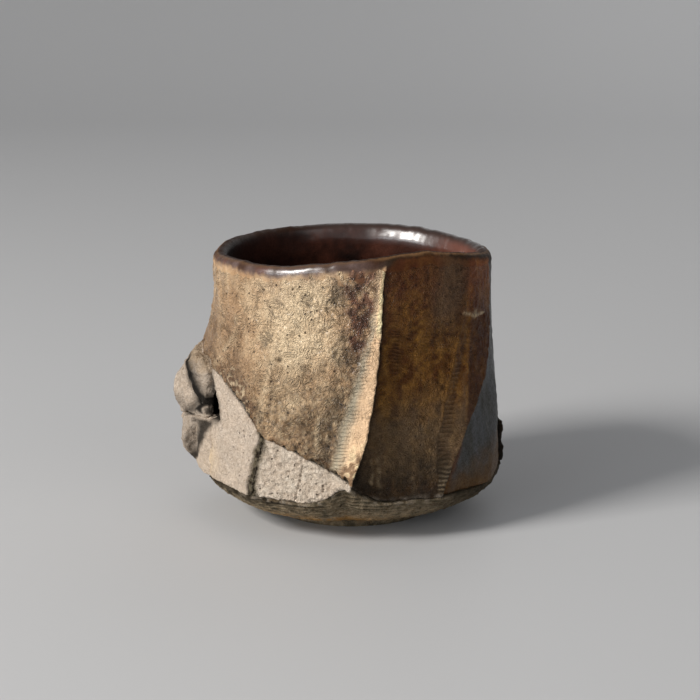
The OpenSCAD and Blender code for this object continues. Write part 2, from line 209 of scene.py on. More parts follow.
def creases(p, size, seed=0):
    """Fine curly creases: 0 on the skin, and 1 along a crease."""
    bent = p + 0.6 * size * np.stack([noise(p, size * 1.6, seed + s) for s in (1, 2, 3)], 1)
    return smooth(0.3, 0.0, np.abs(noise(bent, size, seed)))


def pits(p, spacing, share, seed=0):
    """Small round pits, 0 outside and up to 1 at their middle, in a share of the cells."""
    q = p / spacing + 100.0
    cell = np.floor(q).astype(np.int64)
    deepest = np.zeros(len(p))
    for step in np.ndindex(3, 3, 3):
        near = cell + step - 1
        there = np.stack([scatter(*near.T, seed + s) for s in (11, 12, 13)], 1)
        away = np.linalg.norm(q - (near + there), axis=1)
        size = 0.12 + 0.22 * scatter(*near.T, seed + 14)
        here = scatter(*near.T, seed + 15) < share
        deepest = np.maximum(deepest, np.where(here, np.clip(1 - away / size, 0, 1), 0))
    return deepest


def near_line(a, z, line, width):
    """A soft line through points given as azimuth and height, as wide as given in millimetres."""
    x = a * ARC
    nearest = np.full(len(a), np.inf)
    for (a0, z0), (a1, z1) in zip(line, line[1:]):
        x0, x1 = a0 * ARC, a1 * ARC
        span = (x1 - x0) ** 2 + (z1 - z0) ** 2
        t = np.clip(((x - x0) * (x1 - x0) + (z - z0) * (z1 - z0)) / span, 0, 1)
        nearest = np.minimum(nearest, np.hypot(x - x0 - t * (x1 - x0), z - z0 - t * (z1 - z0)))
    return bell(nearest, width)


def low_edge(a, z, step=2.0):
    """Height of a piece's lower edge at each point's azimuth."""
    bins = np.round(a / step).astype(int)
    edge = np.full(bins.max() - bins.min() + 1, np.inf)
    np.minimum.at(edge, bins - bins.min(), z)
    known = np.isfinite(edge)
    places = (np.arange(len(edge)) + bins.min()) * step
    return np.interp(a, places[known], edge[known])


# Meshes


def frame_sheet(nodes):
    """The named CAD solids in one editable mesh."""
    sheet = bmesh.new()
    for node in nodes:
        sheet.from_mesh(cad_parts[node].data)
    return sheet


def lip_line():
    """The height of the lip's top round the cup: azimuths and heights."""
    sheet = frame_sheet(("liner_cup",))
    p = np.array([vert.co[:] for vert in sheet.verts]) / MM
    sheet.free()
    a, _, z = polar(p)
    rim, step, reach = 8, 3, 2
    places = np.unique(np.round(a[z > z.max() - rim] / step)) * step
    return places, np.array([z[np.abs(a - place) < reach].max() for place in places])


LIP_A, LIP_Z = lip_line()


def below_lip(a, z):
    """How far points lie below the top of the lip."""
    return np.interp(a, LIP_A, LIP_Z, period=360) - z


def new_piece(name, sheet):
    """A new object from an editable mesh, which is used up."""
    mesh = bpy.data.meshes.new(name)
    sheet.to_mesh(mesh)
    sheet.free()
    piece = bpy.data.objects.new(name, mesh)
    bpy.context.scene.collection.objects.link(piece)
    return piece


def crease_edges(sheet, angle=38):
    """Marks the edges that stay sharp when the mesh is rounded."""
    crease = sheet.edges.layers.float.new("crease_edge")
    for edge in sheet.edges:
        if edge.is_manifold and edge.calc_face_angle() > math.radians(angle):
            edge[crease] = 1.0


def welded_copy(node, angle=38):
    """An editable copy of a CAD solid, its triangles paired and its hard edges creased."""
    sheet = frame_sheet((node,))
    bmesh.ops.remove_doubles(sheet, verts=sheet.verts, dist=WELD)
    flat, square = math.radians(35), math.radians(75)
    bmesh.ops.join_triangles(
        sheet, faces=sheet.faces, angle_face_threshold=flat, angle_shape_threshold=square
    )
    crease_edges(sheet, angle)
    return sheet


def bake(piece):
    """Turns a piece's modifiers into its mesh."""
    graph = bpy.context.evaluated_depsgraph_get()
    mesh = bpy.data.meshes.new_from_object(piece.evaluated_get(graph))
    old = piece.data
    piece.modifiers.clear()
    piece.data = mesh
    mesh.name = piece.name
    bpy.data.meshes.remove(old)


def even_mesh(piece, grain, soften=4, rounding=2):
    """Rounds a piece between its hard edges and meshes it evenly."""
    if rounding:
        rounded = piece.modifiers.new("Rounding", "SUBSURF")
        rounded.levels = rounded.render_levels = rounding
    evening = piece.modifiers.new("Evening", "REMESH")
    evening.mode = "VOXEL"
    evening.voxel_size = grain
    evening.use_smooth_shade = True
    softening = piece.modifiers.new("Softening", "SMOOTH")
    softening.iterations = soften
    softening.factor = 0.5
    bake(piece)


def read_points(mesh, field="co"):
    """The mesh's points in millimetres, or its normals."""
    values = np.empty(len(mesh.vertices) * 3)
    mesh.vertices.foreach_get(field, values)
    return values.reshape(-1, 3) / (MM if field == "co" else 1.0)


def write_points(mesh, p):
    """Puts points in millimetres back into the mesh."""
    mesh.vertices.foreach_set("co", (p * MM).ravel())
    mesh.update()


def write_number(mesh, name, values):
    """Stores a number at each point for the materials."""
    layer = mesh.attributes.new(name, "FLOAT", "POINT")
    layer.data.foreach_set("value", np.broadcast_to(values, len(mesh.vertices)).astype(np.float32))


def write_tint(mesh, values):
    """Stores a colour at each point for the materials."""
    layer = mesh.attributes.new("tint", "FLOAT_COLOR", "POINT")
    rgba = np.ones((len(mesh.vertices), 4), np.float32)
    rgba[:, :3] = np.clip(values, 0.001, 1)
    layer.data.foreach_set("color", rgba.ravel())


def clay_shift(p):
    """How far the hand-built clay strays from true, the same for every piece."""
    clay = bpy.context.scene.sake_cup_clay
    wobble, wander = clay.wobble / MM, clay.wander / MM
    a, r, z = polar(p)
    turn = np.radians(a)
    drum = np.stack([DRUM * np.sin(turn), -DRUM * np.cos(turn), z], 1)
    sway = wobble * (noise(drum, 13, 3) + 0.6 * noise(drum, 5.5, 7)) * smooth(6, 20, r)
    sway += 0.6 * blob(a, z, (-86, 33.5), (15, 3.0))
    wall = smooth(14, 22, r)
    side = wander * (noise(drum, 2.4, 11) + 0.7 * noise(drum, 1.1, 12)) * wall
    lift = wander * (noise(drum, 2.6, 13) + 0.7 * noise(drum, 1.2, 14)) * smooth(3, 8, z) * wall
    lift += wobble * noise(drum, 9, 21) * smooth(44, 53, z)
    out = np.stack([np.sin(turn), -np.cos(turn), np.zeros(len(p))], 1)
    along = np.stack([np.cos(turn), np.sin(turn), np.zeros(len(p))], 1)
    return out * sway[:, None] + along * side[:, None] + np.array([0, 0, 1.0]) * lift[:, None]


class Spots:
    """The points of a piece, with what its relief and its paint are worked out from."""

    def __init__(self, mesh):
        self.p = read_points(mesh)
        self.normal = read_points(mesh, "normal")
        self.a, self.r, self.z = polar(self.p)
        self.turn = self.a % 360
        out = np.stack([self.p[:, 0], self.p[:, 1], np.zeros(len(self.p))], 1)
        self.skin = smooth(0.05, 0.5, (self.normal * out).sum(1) / np.maximum(self.r, 1e-6))
        self.below = below_lip(self.a, self.z)
        self.low = self.z - low_edge(self.a, self.z)
        self.height = np.zeros(len(self.p))
        self.moved = self.p.copy()
        self.tint = np.ones_like(self.p)

    def part(self, here):
        """Some of the points, chosen by a mask."""
        some = copy.copy(self)
        for name, values in vars(self).items():
            setattr(some, name, values[here])
        return some

    def noise(self, size, seed):
        """Noise at the points."""
        return noise(self.p, size, seed)

    def lumps(self, seed, *layers):
        """Noise in layers, each with its weight and the size of its lumps."""
        return sum(weight * self.noise(size, seed + k) for k, (weight, size) in enumerate(layers))

    def cloudy(self, size, seed):
        """Noise with finer lumps on top."""
        return self.lumps(seed, (0.6, size), (0.45, size / 2.3), (0.3, size / 5.1))

    def streaks(self, size, seed, stretch=7.0):
        """Noise drawn out up the wall."""
        return noise(self.p * (1, 1, 1 / stretch), size, seed)

    def patches(self, *rows):
        """The sum of soft patches, each with its weight, azimuth, height and their spreads."""
        return sum(weight * blob(self.a, self.z, (a, z), (da, dz)) for weight, a, z, da, dz in rows)

    def line(self, points, width):
        """A soft line through points of azimuth and height, as wide as given in millimetres."""
        return near_line(self.a, self.z, points, width)

    def past(self, azimuths):
        """How far the points lie to the right of a seam, in millimetres."""
        return (self.a - seam(azimuths, self.z)) * ARC

    def right_of(self, line):
        """How far the points lie to the right of a line, in millimetres."""
        return (self.a - line_at(line, self.z)) * ARC

    def dab(self, colour, share):
        """Blends a colour into the tint by a share between 0 and 1."""
        self.tint = mix(self.tint, colour, share)

    def shade(self, share):
        """Darkens the tint by a share, or lightens it by a negative one."""
        self.tint = self.tint * (1 - share)[:, None]


def finish_piece(piece, relief, paint, finish, slot, *nodes):
    """Gives a piece its relief and its glaze, and hands it to the frame.

    relief(spots) returns how far the surface stands out, in millimetres, and paint(spots)
    the tint and the numbers for the material.
    """
    mesh = piece.data
    spots = Spots(mesh)
    spots.height = relief(spots)
    looks = paint(spots)
    moved = spots.moved + spots.normal * (spots.height + JOINT_FILL)[:, None]
    write_points(mesh, moved + clay_shift(spots.p))
    for name, values in looks.items():
        if name == "tint":
            write_tint(mesh, values)
        else:
            write_number(mesh, name, values)
    mesh.polygons.foreach_set("use_smooth", np.ones(len(mesh.polygons), bool))
    mesh.materials.clear()
    mesh.materials.append(material_of(finish))
    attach(piece, BODY)
    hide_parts(*nodes)


# Materials

# Sockets of the mix node that hold colours
MIX_FIRST, MIX_SECOND, MIX_RESULT = 6, 7, 2


def fired_clay(name, gloss, coat, shine, speckle, grain, curls):
    """A fired clay or glaze, which takes its colours and masks from the piece's points.

    gloss is the roughness at a shine of 0 and of 1, coat the weight, the roughness and the
    refractive index of the clear glaze, shine the specular level, speckle how strongly the fine
    colour varies, grain the height of the grit in metres and curls the share of it that runs in
    curly wrinkles.
    """
    material = bpy.data.materials.new(name)
    material.use_nodes = True
    tree = material.node_tree
    tree.nodes.clear()

    def add(kind, **settings):
        node = tree.nodes.new(kind)
        for key, value in settings.items():
            setattr(node, key, value)
        return node

    def wire(source, target):
        tree.links.new(source, target)

    def number(name):
        return add("ShaderNodeAttribute", attribute_name=name).outputs["Fac"]

    def maths(operation, first, second=None, clamp=False):
        node = add("ShaderNodeMath", operation=operation, use_clamp=clamp)
        for socket, value in zip(node.inputs, (first, second)):
            if isinstance(value, (int, float)):
                socket.default_value = value
            elif value is not None:
                wire(value, socket)
        return node.outputs[0]

    def plus(first, second, clamp=False):
        return maths("ADD", first, second, clamp)

    def minus(first, second):
        return maths("SUBTRACT", first, second)

    def times(first, second, clamp=False):
        return maths("MULTIPLY", first, second, clamp)

    def lumps(size, detail=3.0, roughness=0.6, warp=0.0):
        node = add("ShaderNodeTexNoise")
        wire(place, node.inputs["Vector"])
        node.inputs["Scale"].default_value = 1.0 / (size * MM)
        node.inputs["Detail"].default_value = detail
        node.inputs["Roughness"].default_value = roughness
        node.inputs["Distortion"].default_value = warp
        return node.outputs["Fac"]

    def stretch(value, low, high):
        node = add("ShaderNodeMapRange", interpolation_type="SMOOTHSTEP")
        wire(value, node.inputs["Value"])
        node.inputs["From Min"].default_value = low
        node.inputs["From Max"].default_value = high
        return node.outputs["Result"]

    def tinted(base, share, blend, tint):
        node = add("ShaderNodeMix", data_type="RGBA", blend_type=blend)
        wire(base, node.inputs[MIX_FIRST])
        wire(share, node.inputs[0])
        node.inputs[MIX_SECOND].default_value = (*tint, 1)
        return node.outputs[MIX_RESULT]

    place = add("ShaderNodeTexCoord").outputs["Object"]
    base = add("ShaderNodeAttribute", attribute_name="tint").outputs["Color"]
    chatter, grit = number("chatter"), number("grit")

    # Colour: cloudy at a few millimetres, speckled at a fraction of one, with painted glints, dark in the
    # pits
    patchy = stretch(lumps(1.6, 4.0), 0.34, 0.68)
    fine = stretch(lumps(0.5, 3.0, 0.7, 1.5), 0.38, 0.62)
    dots = add("ShaderNodeTexVoronoi", feature="F1")
    wire(place, dots.inputs["Vector"])
    dots.inputs["Scale"].default_value = 1.0 / (1.1 * MM)
    chosen = add("ShaderNodeSeparateColor")
    wire(dots.outputs["Color"], chosen.inputs[0])
    few = stretch(chosen.outputs[0], 0.5, 0.95)
    dot = times(stretch(dots.outputs["Distance"], 0.26, 0.1), few)
    dot = times(dot, number("pitted"), clamp=True)
    dark = tinted(base, times(patchy, speckle * 0.7), "MULTIPLY", (0.6, 0.53, 0.46))
    dark = tinted(dark, times(fine, speckle), "MULTIPLY", (0.5, 0.43, 0.36))
    # Painted glints: pale specks that stand in for small reflections on the glaze
    glints = stretch(lumps(0.34, 1.0), 0.58, 0.74)
    pale = tinted(dark, times(glints, speckle * 0.4), "DODGE", (0.45, 0.42, 0.38))
    final = tinted(pale, dot, "MULTIPLY", (0.16, 0.13, 0.11))

    # Height: grit, pits, and the ripples that the knife left
    ridges = maths("ABSOLUTE", minus(lumps(0.8, 1.5, 0.5, 0.8), 0.5))
    rise = plus(lumps(0.7, 4.0, 0.62, 1.2), times(ridges, -0.9 if curls else -0.3))
    wrinkles = maths("SINE", times(lumps(2.4, 0.6, 0.5, 1.0), 60.0))
    wrinkles = times(wrinkles, stretch(lumps(3.1, 1.0), 0.36, 0.6))
    rise = plus(rise, times(wrinkles, curls))
    rise = times(rise, grit)
    rise = minus(rise, times(dot, 0.8))
    waves = maths("SINE", number("ripple"))
    rise = plus(rise, times(times(waves, chatter), 0.36))
    bump = add("ShaderNodeBump")
    bump.inputs["Distance"].default_value = grain
    bump.inputs["Strength"].default_value = 1.0
    wire(rise, bump.inputs["Height"])

    shader = add("ShaderNodeBsdfPrincipled")
    wire(final, shader.inputs["Base Color"])
    dullest, shiniest = gloss
    dull = plus(times(number("shine"), shiniest - dullest), dullest)
    dull = plus(dull, times(minus(fine, 0.5), 0.2), clamp=True)
    wire(dull, shader.inputs["Roughness"])
    wire(bump.outputs["Normal"], shader.inputs["Normal"])
    coat_weight, coat_roughness, coat_index = coat
    wire(times(number("shine"), coat_weight, clamp=True), shader.inputs["Coat Weight"])
    shader.inputs["Coat Roughness"].default_value = coat_roughness
    shader.inputs["Coat IOR"].default_value = coat_index
    shader.inputs["Specular IOR Level"].default_value = shine
    wire(shader.outputs[0], add("ShaderNodeOutputMaterial").inputs["Surface"])
    return material


# Gloss, coat, shine, speckle, grain and curls of each finish
FINISHES = {
    "ash_glaze": ((0.6, 0.24), (0.3, 0.2, 1.5), 0.45, 0.32, 0.9 * MM, 0.2),
    "amber_glaze": ((0.6, 0.3), (0.12, 0.22, 1.5), 0.14, 0.62, 0.85 * MM, 0.16),
    "slate_glaze": ((0.6, 0.32), (0.12, 0.22, 1.5), 0.14, 0.7, 0.45 * MM, 0.06),
    "iron_glaze": ((0.6, 0.2), (1.0, 0.3, 1.9), 0.1, 0.5, 0.25 * MM, 0.0),
    "sandy_clay": ((0.95, 0.7), (0.0, 0.3, 1.5), 0.12, 0.42, 0.9 * MM, 0.0),
    "thrown_clay": ((0.85, 0.45), (0.0, 0.3, 1.5), 0.1, 0.6, 0.9 * MM, 0.0),
}


def material_of(finish):
    """The named finish, made once."""
    return bpy.data.materials.get(finish) or fired_clay(finish, *FINISHES[finish])


def glaze_colours():
    """The chosen colours as arrays, by name."""
    chosen = bpy.context.scene.sake_cup_glaze
    names = SAKECUP_PG_glaze.__annotations__
    return SimpleNamespace(**{name: np.array(getattr(chosen, name)) for name in names})


def ripple(along):
    """Phase of the chatter marks for a distance in millimetres."""
    return along / (bpy.context.scene.sake_cup_clay.chatter_pitch / MM) * 2 * math.pi


def looks_of(s, shine, grit, pitted, chatter=0.0, along=None):
    """The tint and the numbers that the materials read."""
    phase = ripple(s.z if along is None else along)
    return dict(tint=s.tint, shine=shine, grit=grit, pitted=pitted, chatter=chatter, ripple=phase)


# Relief and paint of the slabs

# Patches are rows of weight, azimuth, height and their spreads, and lines are points of azimuth
# and height, in degrees and millimetres

CRAWLED = (1.0, -4, 45, 13, 11)
LUMPY = (1.0, -4, 46, 14, 11)
DENTS = ((0.5, -19.3, 34.6, 2.0, 0.9), (0.3, -10.6, 35.8, 2.0, 1.3))
PALE = ((1.1, -21, 45, 16, 13), (0.4, -16, 51, 12, 4), (0.6, -26, 33, 8, 6), (0.4, -46, 48, 8, 5))
BROWN = ((1.0, -50, 29, 8, 6), (0.9, -75, 38, 6, 7), (0.5, -33, 35, 3, 5))
SHADED = ((1.1, -14, 20, 11, 6), (0.5, -3, 40, 5, 6), (0.5, -6, 46, 4, 4))
FLUSHED = ((1.0, 5.5, 50, 8, 6), (0.8, 2, 42, 4, 8), (0.4, -14, 53, 16, 2.5), (0.3, -33, 49, 7, 4))
SOFT_RIDGE = ((-31.0, 41), (-32.5, 36), (-36.0, 29), (-37.5, 22.5))
STITCHES = ((-29.0, 37), (-30.5, 33), (-33.0, 28), (-34.5, 22.5))
LEFT_STREAK = ((-52.5, 42), (-55.5, 38.5), (-61.5, 35), (-65.5, 32.2))
LOW_RIDGE = ((-13.0, 25), (-14.2, 15.5))


def tuck_under_lip(s):
    """Draws a slab's upper edge in under the lip."""
    tuck = 0.15 * smooth(3.4, 2.0, s.below)
    s.moved[:, :2] *= (1 - tuck / DRUM)[:, None]


def ash_skin(s, seed):
    """Crawled ash glaze: lumps, fine creases and pin holes."""
    lumps = s.lumps(seed, (0.22, 2.8), (0.18, 1.4), (0.16, 0.7))
    return lumps - 0.15 * creases(s.p, 0.7, seed + 4) - 0.4 * pits(s.p, 1.8, 0.16, seed + 9)


def crumbled(s, width, depth, seed):
    """A torn lower edge."""
    torn = smooth(width, 0.15, s.low + 0.3 * s.noise(1.5, seed))
    return -torn * (depth + 0.6 * depth * s.noise(0.8, seed + 1))


def front_left_relief(s):
    """Lumpy ash glaze, a soft ridge, a trough beside the pale strip and a ragged right edge."""
    tuck_under_lip(s)
    beside = s.past(STRIP_LEFT)
    panel = smooth(0.8, -0.6, beside)
    height = ash_skin(s, 31) * (0.75 + 0.9 * s.patches(CRAWLED)) * (0.22 + 0.78 * panel)
    height += (0.5 * s.noise(3.4, 36) * s.patches(LUMPY) + 0.3 * s.noise(5.5, 37)) * panel
    height -= 0.5 * bell(beside + 1.7, 1.9) * smooth(54, 38, s.z) + s.patches(*DENTS)
    height += 0.32 * s.line(SOFT_RIDGE, 0.8) * (0.8 + 0.6 * s.noise(1.4, 38))
    height -= 0.4 * s.line(STITCHES, 0.45) * smooth(-0.1, 0.5, s.noise(0.9, 39))
    height += 0.25 * s.line(LEFT_STREAK, 0.7) + 0.2 * s.line(LOW_RIDGE, 0.4)
    height += crumbled(s, 1.3, 0.2, 41) * panel
    s.moved[:, 2] += smooth(1.6, 0.2, s.low) * (s.lumps(45, (0.9, 1.3), (0.7, 0.6)) + 0.1)
    edge = smooth(-1.3, -0.1, s.past(RIDGE)) * smooth(2.5, 4.5, s.below)
    ragged = edge * s.lumps(43, (0.16, 2.3), (0.07, 0.6))
    turn = np.radians(s.a)
    s.moved[:, 0] += np.cos(turn) * ragged
    s.moved[:, 1] += np.sin(turn) * ragged
    return height * s.skin


def strip_tint(s, across, fine):
    """The pale strip's glaze, greyer along its left side and toasted at its foot."""
    c, z = glaze_colours(), s.z
    warm = c.ash_cream * (1.02, 0.9, 0.84)
    tint = mix(c.ash_cream * (0.5, 0.56, 0.62), warm, smooth(0.1, 0.6, across + 0.12 * s.noise(1.6, 67)))
    tint = tint * (0.82 + 0.36 * smooth(26, 14, z) + 0.75 * smooth(38, 46, z) + 0.14 * fine)[:, None]
    tint = mix(tint, c.ash_gold * 1.3, 0.5 * smooth(38, 50, z + 3 * s.noise(2.5, 62)))
    spots = smooth(-0.02, 0.22, s.noise(1.0, 63)) * smooth(22, 17, z + 3 * fine)
    return mix(tint, c.toast * 0.8, 0.85 * spots * smooth(0.2, 0.5, across))


def front_left_paint(s):
    """Golden ash glaze, flushed red at its upper right and thin and brown below."""
    c, a, z = glaze_colours(), s.a, s.z
    cloud = s.cloudy(6.5, 51)
    fine = s.noise(1.2, 54)
    streak = s.streaks(1.7, 55)
    s.tint = mix(c.ash_gold, c.ash_cream, 0.16 + 0.95 * s.patches(*PALE) + 0.6 * cloud + 0.2 * fine)
    left = smooth(-40, -58, a + 8 * cloud)
    s.dab(c.ash_brown, (0.2 + 0.45 * smooth(48, 34, z) + 0.45 * streak) * left)
    s.dab(c.ash_brown * 0.9, np.clip(s.patches(*BROWN) * (0.75 + 0.7 * s.noise(2.0, 66)), 0, 0.85))
    low = smooth(38, 24, z + 3.5 * cloud - 0.1 * (a + 25))
    s.dab(c.ash_brown * (0.98, 1.0, 0.92), (0.7 + 0.45 * fine + 0.3 * streak) * low)

    # Shade beside the strip, the red flush, and pale ridges
    beside = s.past(STRIP_LEFT)
    shade = bell(beside + 2.4, 2.9) * smooth(52, 34, z) + s.patches(*SHADED)
    shade = np.clip(shade * (0.6 + 0.5 * cloud + 0.4 * fine), 0, 1)
    s.tint = s.tint * (1 - shade[:, None] * (0.42, 0.42, 0.44))
    flush = s.patches(*FLUSHED)
    s.dab(c.iron_flush, np.clip(1.3 * flush * (0.6 + 0.5 * s.noise(1.7, 57) + 0.6 * fine), 0, 0.85))
    ridges = s.line(SOFT_RIDGE, 0.9) + 0.8 * s.line(LEFT_STREAK, 0.8) + s.line(LOW_RIDGE, 0.42)
    s.dab(c.ash_cream * 0.95, 0.6 * np.clip(ridges * (0.8 + 0.6 * fine), 0, 1))

    # Burnt clay and painted glints low down, the toasted edge with painted glints on it, and painted shade
    # and light from the relief's hollows and bumps
    burnt = smooth(5.0, 1.5, s.low + 3 * s.noise(1.3, 47)) * smooth(-35, -40, a) * smooth(-72, -64, a)
    s.dab(c.ash_brown * (0.5, 0.44, 0.4), 0.75 * burnt)
    glints = np.clip(3 * s.noise(0.55, 48) - 0.4, 0, 0.8)
    s.dab(c.ash_cream * 0.9, glints * np.maximum(burnt, 0.4 * low))
    s.shade(low * (0.06 - 0.5 * s.noise(0.5, 49)))
    edges = smooth(1.8, 0.4, s.low + 0.5 * s.noise(1.3, 58))
    s.dab(c.toast, edges * np.clip(0.5 + 0.9 * s.noise(1.0, 59), 0, 0.9))
    # Pale flecks on the toasted edge: painted glints
    s.dab(c.ash_cream * 0.8, edges * np.clip(0.8 * s.noise(0.8, 60) - 0.1, 0, 0.8))
    # Painted shade where the relief sinks, painted light where it rises
    s.shade(0.45 * smooth(-0.2, -0.5, s.height) - 0.12 * smooth(0.1, 0.4, s.height))

    # The strip and its chatter marks
    on_strip = smooth(-0.9, 0.9, beside + 0.3 * s.noise(1.4, 61))
    across = np.clip(beside / np.maximum(beside - s.past(RIDGE), 0.3), 0, 1)
    s.dab(strip_tint(s, across, fine), on_strip)
    s.dab(c.ash_umber, 1 - s.skin)
    marks = on_strip * smooth(-0.05, 0.12, across) * smooth(0.66, 0.3, across)
    marks = marks * smooth(50, 43, z) * smooth(11, 15, z) * np.clip(0.7 + 0.7 * s.noise(3, 64), 0, 1)
    along = z - 0.1 * a * ARC + 0.12 * s.noise(1.8, 65)
    groove = marks * (0.5 - 0.5 * np.sin(ripple(along))) * smooth(-0.5, 0.3, s.noise(1.6, 68))
    s.shade(0.13 * groove)
    shine = 0.6 + 0.4 * flush + 0.25 * s.patches(CRAWLED) + 0.2 * cloud - 0.3 * on_strip
    grit = 1.0 + 0.15 * low - (0.5 + 0.15 * low) * on_strip
    return looks_of(s, np.clip(shine, 0, 1), grit, 0.9 - 0.6 * on_strip, marks * 0.45, along)


NICK = ((50.5, 43.6), (54, 43.2), (58.5, 42.5), (62, 42.7), (66, 42.5))
NICK_TIP = ((57.5, 42.7), (59.5, 43.4))
BELOW_NICK = ((52, 42.0), (60, 41.3), (66, 42.0))
GOLD_EDGE = ((50.3, 31.5), (49.2, 26.7), (44.8, 19.3), (41.4, 16.7), (40.8, 13.8))
BROWN_EDGE = ((54, 42), *GOLD_EDGE)
RAISED = (((7, 17.8), (7.4, 13)), ((9.8, 17), (10.6, 11)))
# Scratches: weight, width and line
SCRATCHES = (
    (1.0, 0.35, ((7, 18.2), (7.4, 12.5))),
    (1.0, 0.4, ((9.8, 17.5), (10.6, 10.8))),
    (0.7, 0.4, ((24, 13), (25, 10))),
)
GLOW = ((1.0, 24, 32, 8, 4), (0.5, 22, 47, 8, 5), (0.5, 30, 40, 4, 5))
MAUVE = ((0.9, 45, 50, 7, 8), (0.45, 38, 45, 5, 4))
CHATTER = (
    (1.0, 17.7, 38.5, 2.0, 6.0),
    (0.8, 24, 40.5, 1.1, 2.4),
    (0.8, 27, 35.8, 2.0, 3.0),
    (0.6, 35, 39.6, 4.5, 2.8),
    (0.7, 53.5, 38, 4, 3),
)


def front_right_relief(s):
    """Cut facets with shallow chatter, a torn nick at the upper right and scratches below."""
    tuck_under_lip(s)
    z, facet = s.z, s.past(FACET_EDGE)
    height = s.lumps(71, (0.12, 3.2), (0.09, 1.3), (0.07, 0.7))
    height -= 0.06 * creases(s.p, 0.9, 74) + 0.25 * pits(s.p, 2.2, 0.12, 75)
    height += 0.2 * bell(facet, 0.55) * smooth(48, 43, z) * smooth(9, 14, z)
    height -= 0.24 * bell(facet - 2.2, 1.5) * smooth(47, 42, z)
    height += 0.3 * s.line(NICK, 0.42) * (0.7 + 0.8 * s.noise(0.8, 76)) - 0.25 * s.line(BELOW_NICK, 0.5)
    height += 0.12 * sum(s.line(scratch, 0.3) for scratch in RAISED)
    return (height + crumbled(s, 1.0, 0.12, 77)) * s.skin


def front_right_paint(s):
    """Amber glaze, flecked with gold and scorched towards the base."""
    c, a, z = glaze_colours(), s.a, s.z
    facet = s.past(FACET_EDGE)
    cloud = s.cloudy(5.5, 81)
    fine = s.noise(1.0, 84)
    s.tint = mix(c.amber, c.amber_gold, 0.2 + 0.14 * cloud + 0.4 * fine + 0.35 * s.streaks(1.3, 85))
    s.dab(c.iron_flush, 0.55 * smooth(40, 50, z + 4 * cloud))
    s.dab(c.amber_gold, np.clip(s.patches(*GLOW) * (0.4 + 0.7 * cloud + 0.4 * fine), 0, 0.8))
    khaki = smooth(32, 22, z + 3 * cloud) * smooth(10, 14, z)
    s.dab(c.ash_umber * 0.95, 0.7 * khaki)
    s.dab(c.char * 1.6, 0.9 * smooth(19, 11, z + 3.5 * cloud))
    s.shade(-0.8 * smooth(0, 1, facet) * smooth(13, 19, z))
    s.dab(c.ash_umber * (1.1, 0.95, 0.9), np.clip(s.patches(*MAUVE), 0, 0.7))

    # The facet's border as a painted highlight, its hollow darkened as painted shade, and the brown and
    # golden right edge
    s.dab(c.amber_gold, 0.35 * bell(facet, 0.5) * smooth(44, 40, z) * smooth(20, 27, z))
    s.dab(c.char * 1.3, 0.4 * bell(facet - 2.0, 1.4) * smooth(45, 41, z) * smooth(24, 32, z))
    s.dab(c.iron_flush * 0.4, 0.75 * smooth(0.5, 1.5, s.right_of(BROWN_EDGE)) * smooth(52, 40, z))
    s.dab(c.ash_brown * 0.8, 0.75 * s.line(GOLD_EDGE, 0.7) * np.clip(0.8 + 1.2 * fine, 0, 1))

    # The nick, scratches, painted shadow beside the ridge's step, and edges
    nick = s.line(NICK_TIP, 0.45) + s.line(NICK, 0.3)
    s.dab(c.ash_cream * 0.7, np.clip(nick * (0.75 + 0.9 * s.noise(0.5, 86)), 0, 0.85))
    scratches = sum(weight * s.line(line, width) for weight, width, line in SCRATCHES)
    s.dab(c.ash_umber * 1.9, np.clip(scratches * (0.45 + 0.9 * fine), 0, 0.7))
    # Painted shadow: dark beside the ridge, whose step stands proud of this slab
    s.dab(c.char * 0.8, 0.85 * smooth(1.5, 0.1, s.past(RIDGE)) * (0.8 + 0.3 * fine))
    s.dab(c.bare_grey * 0.45, smooth(1.2, 0.3, s.low) * np.clip(0.5 * s.noise(1.1, 87) + 0.2, 0, 1))
    s.dab(c.char, 1 - s.skin)

    # Chatter marks, pale on their crests
    border = smooth(0.1, 0.6, facet) * smooth(3.9, 3.0, facet + 0.04 * (z - 16))
    bands = s.patches(*CHATTER) + 1.1 * border * smooth(36, 33, z) * smooth(8.6, 10.5, z)
    bands = np.clip(bands, 0, 1) * np.clip(0.8 + 0.6 * s.noise(2.4, 88), 0, 1)
    along = np.where(facet > -0.5, 0.74, 1.0) * (z + 0.16 * a * ARC) + 0.14 * s.noise(1.7, 89)
    pale = mix(s.tint * 2.3, c.ash_brown * 0.6, 0.45 + 0.3 * border)
    pale = mix(pale, c.ash_cream * 0.45, border * smooth(19, 11, z))
    s.shade(0.25 * bands)
    s.dab(pale, 0.95 * bands * (0.5 + 0.5 * np.sin(ripple(along))))
    shine = np.clip(0.6 + 0.25 * cloud - 0.25 * khaki, 0, 1)
    return looks_of(s, shine, 0.75, 0.5, bands, along)


def right_relief(s):
    """Long soft flutes."""
    tuck_under_lip(s)
    return (0.14 * s.streaks(2.4, 91) + s.lumps(92, (0.1, 4.5), (0.07, 1.0))) * s.skin


def right_paint(s):
    """Blue-grey glaze that streaks down to scorched brown."""
    c, z = glaze_colours(), s.z
    cloud = s.cloudy(5, 94)
    s.tint = mix(c.slate, c.slate_pale, 0.35 + 0.6 * s.streaks(1.5, 97, 10.0) + 0.25 * cloud)
    s.dab(c.amber * 1.1, 0.85 * smooth(2.6, 0.8, s.past(RIGHT_SEAM) + 0.5 * s.noise(2, 98)))
    s.dab(c.amber_gold * 0.38, 0.8 * smooth(17, 10, z - 0.16 * (s.a - 60) + 3 * cloud))
    s.dab(c.char * 1.5, 0.75 * smooth(38, 48, z + 2 * cloud))
    s.dab(c.char, 1 - s.skin)
    return looks_of(s, np.clip(0.6 + 0.2 * cloud, 0, 1), grit=0.5, pitted=0.4)


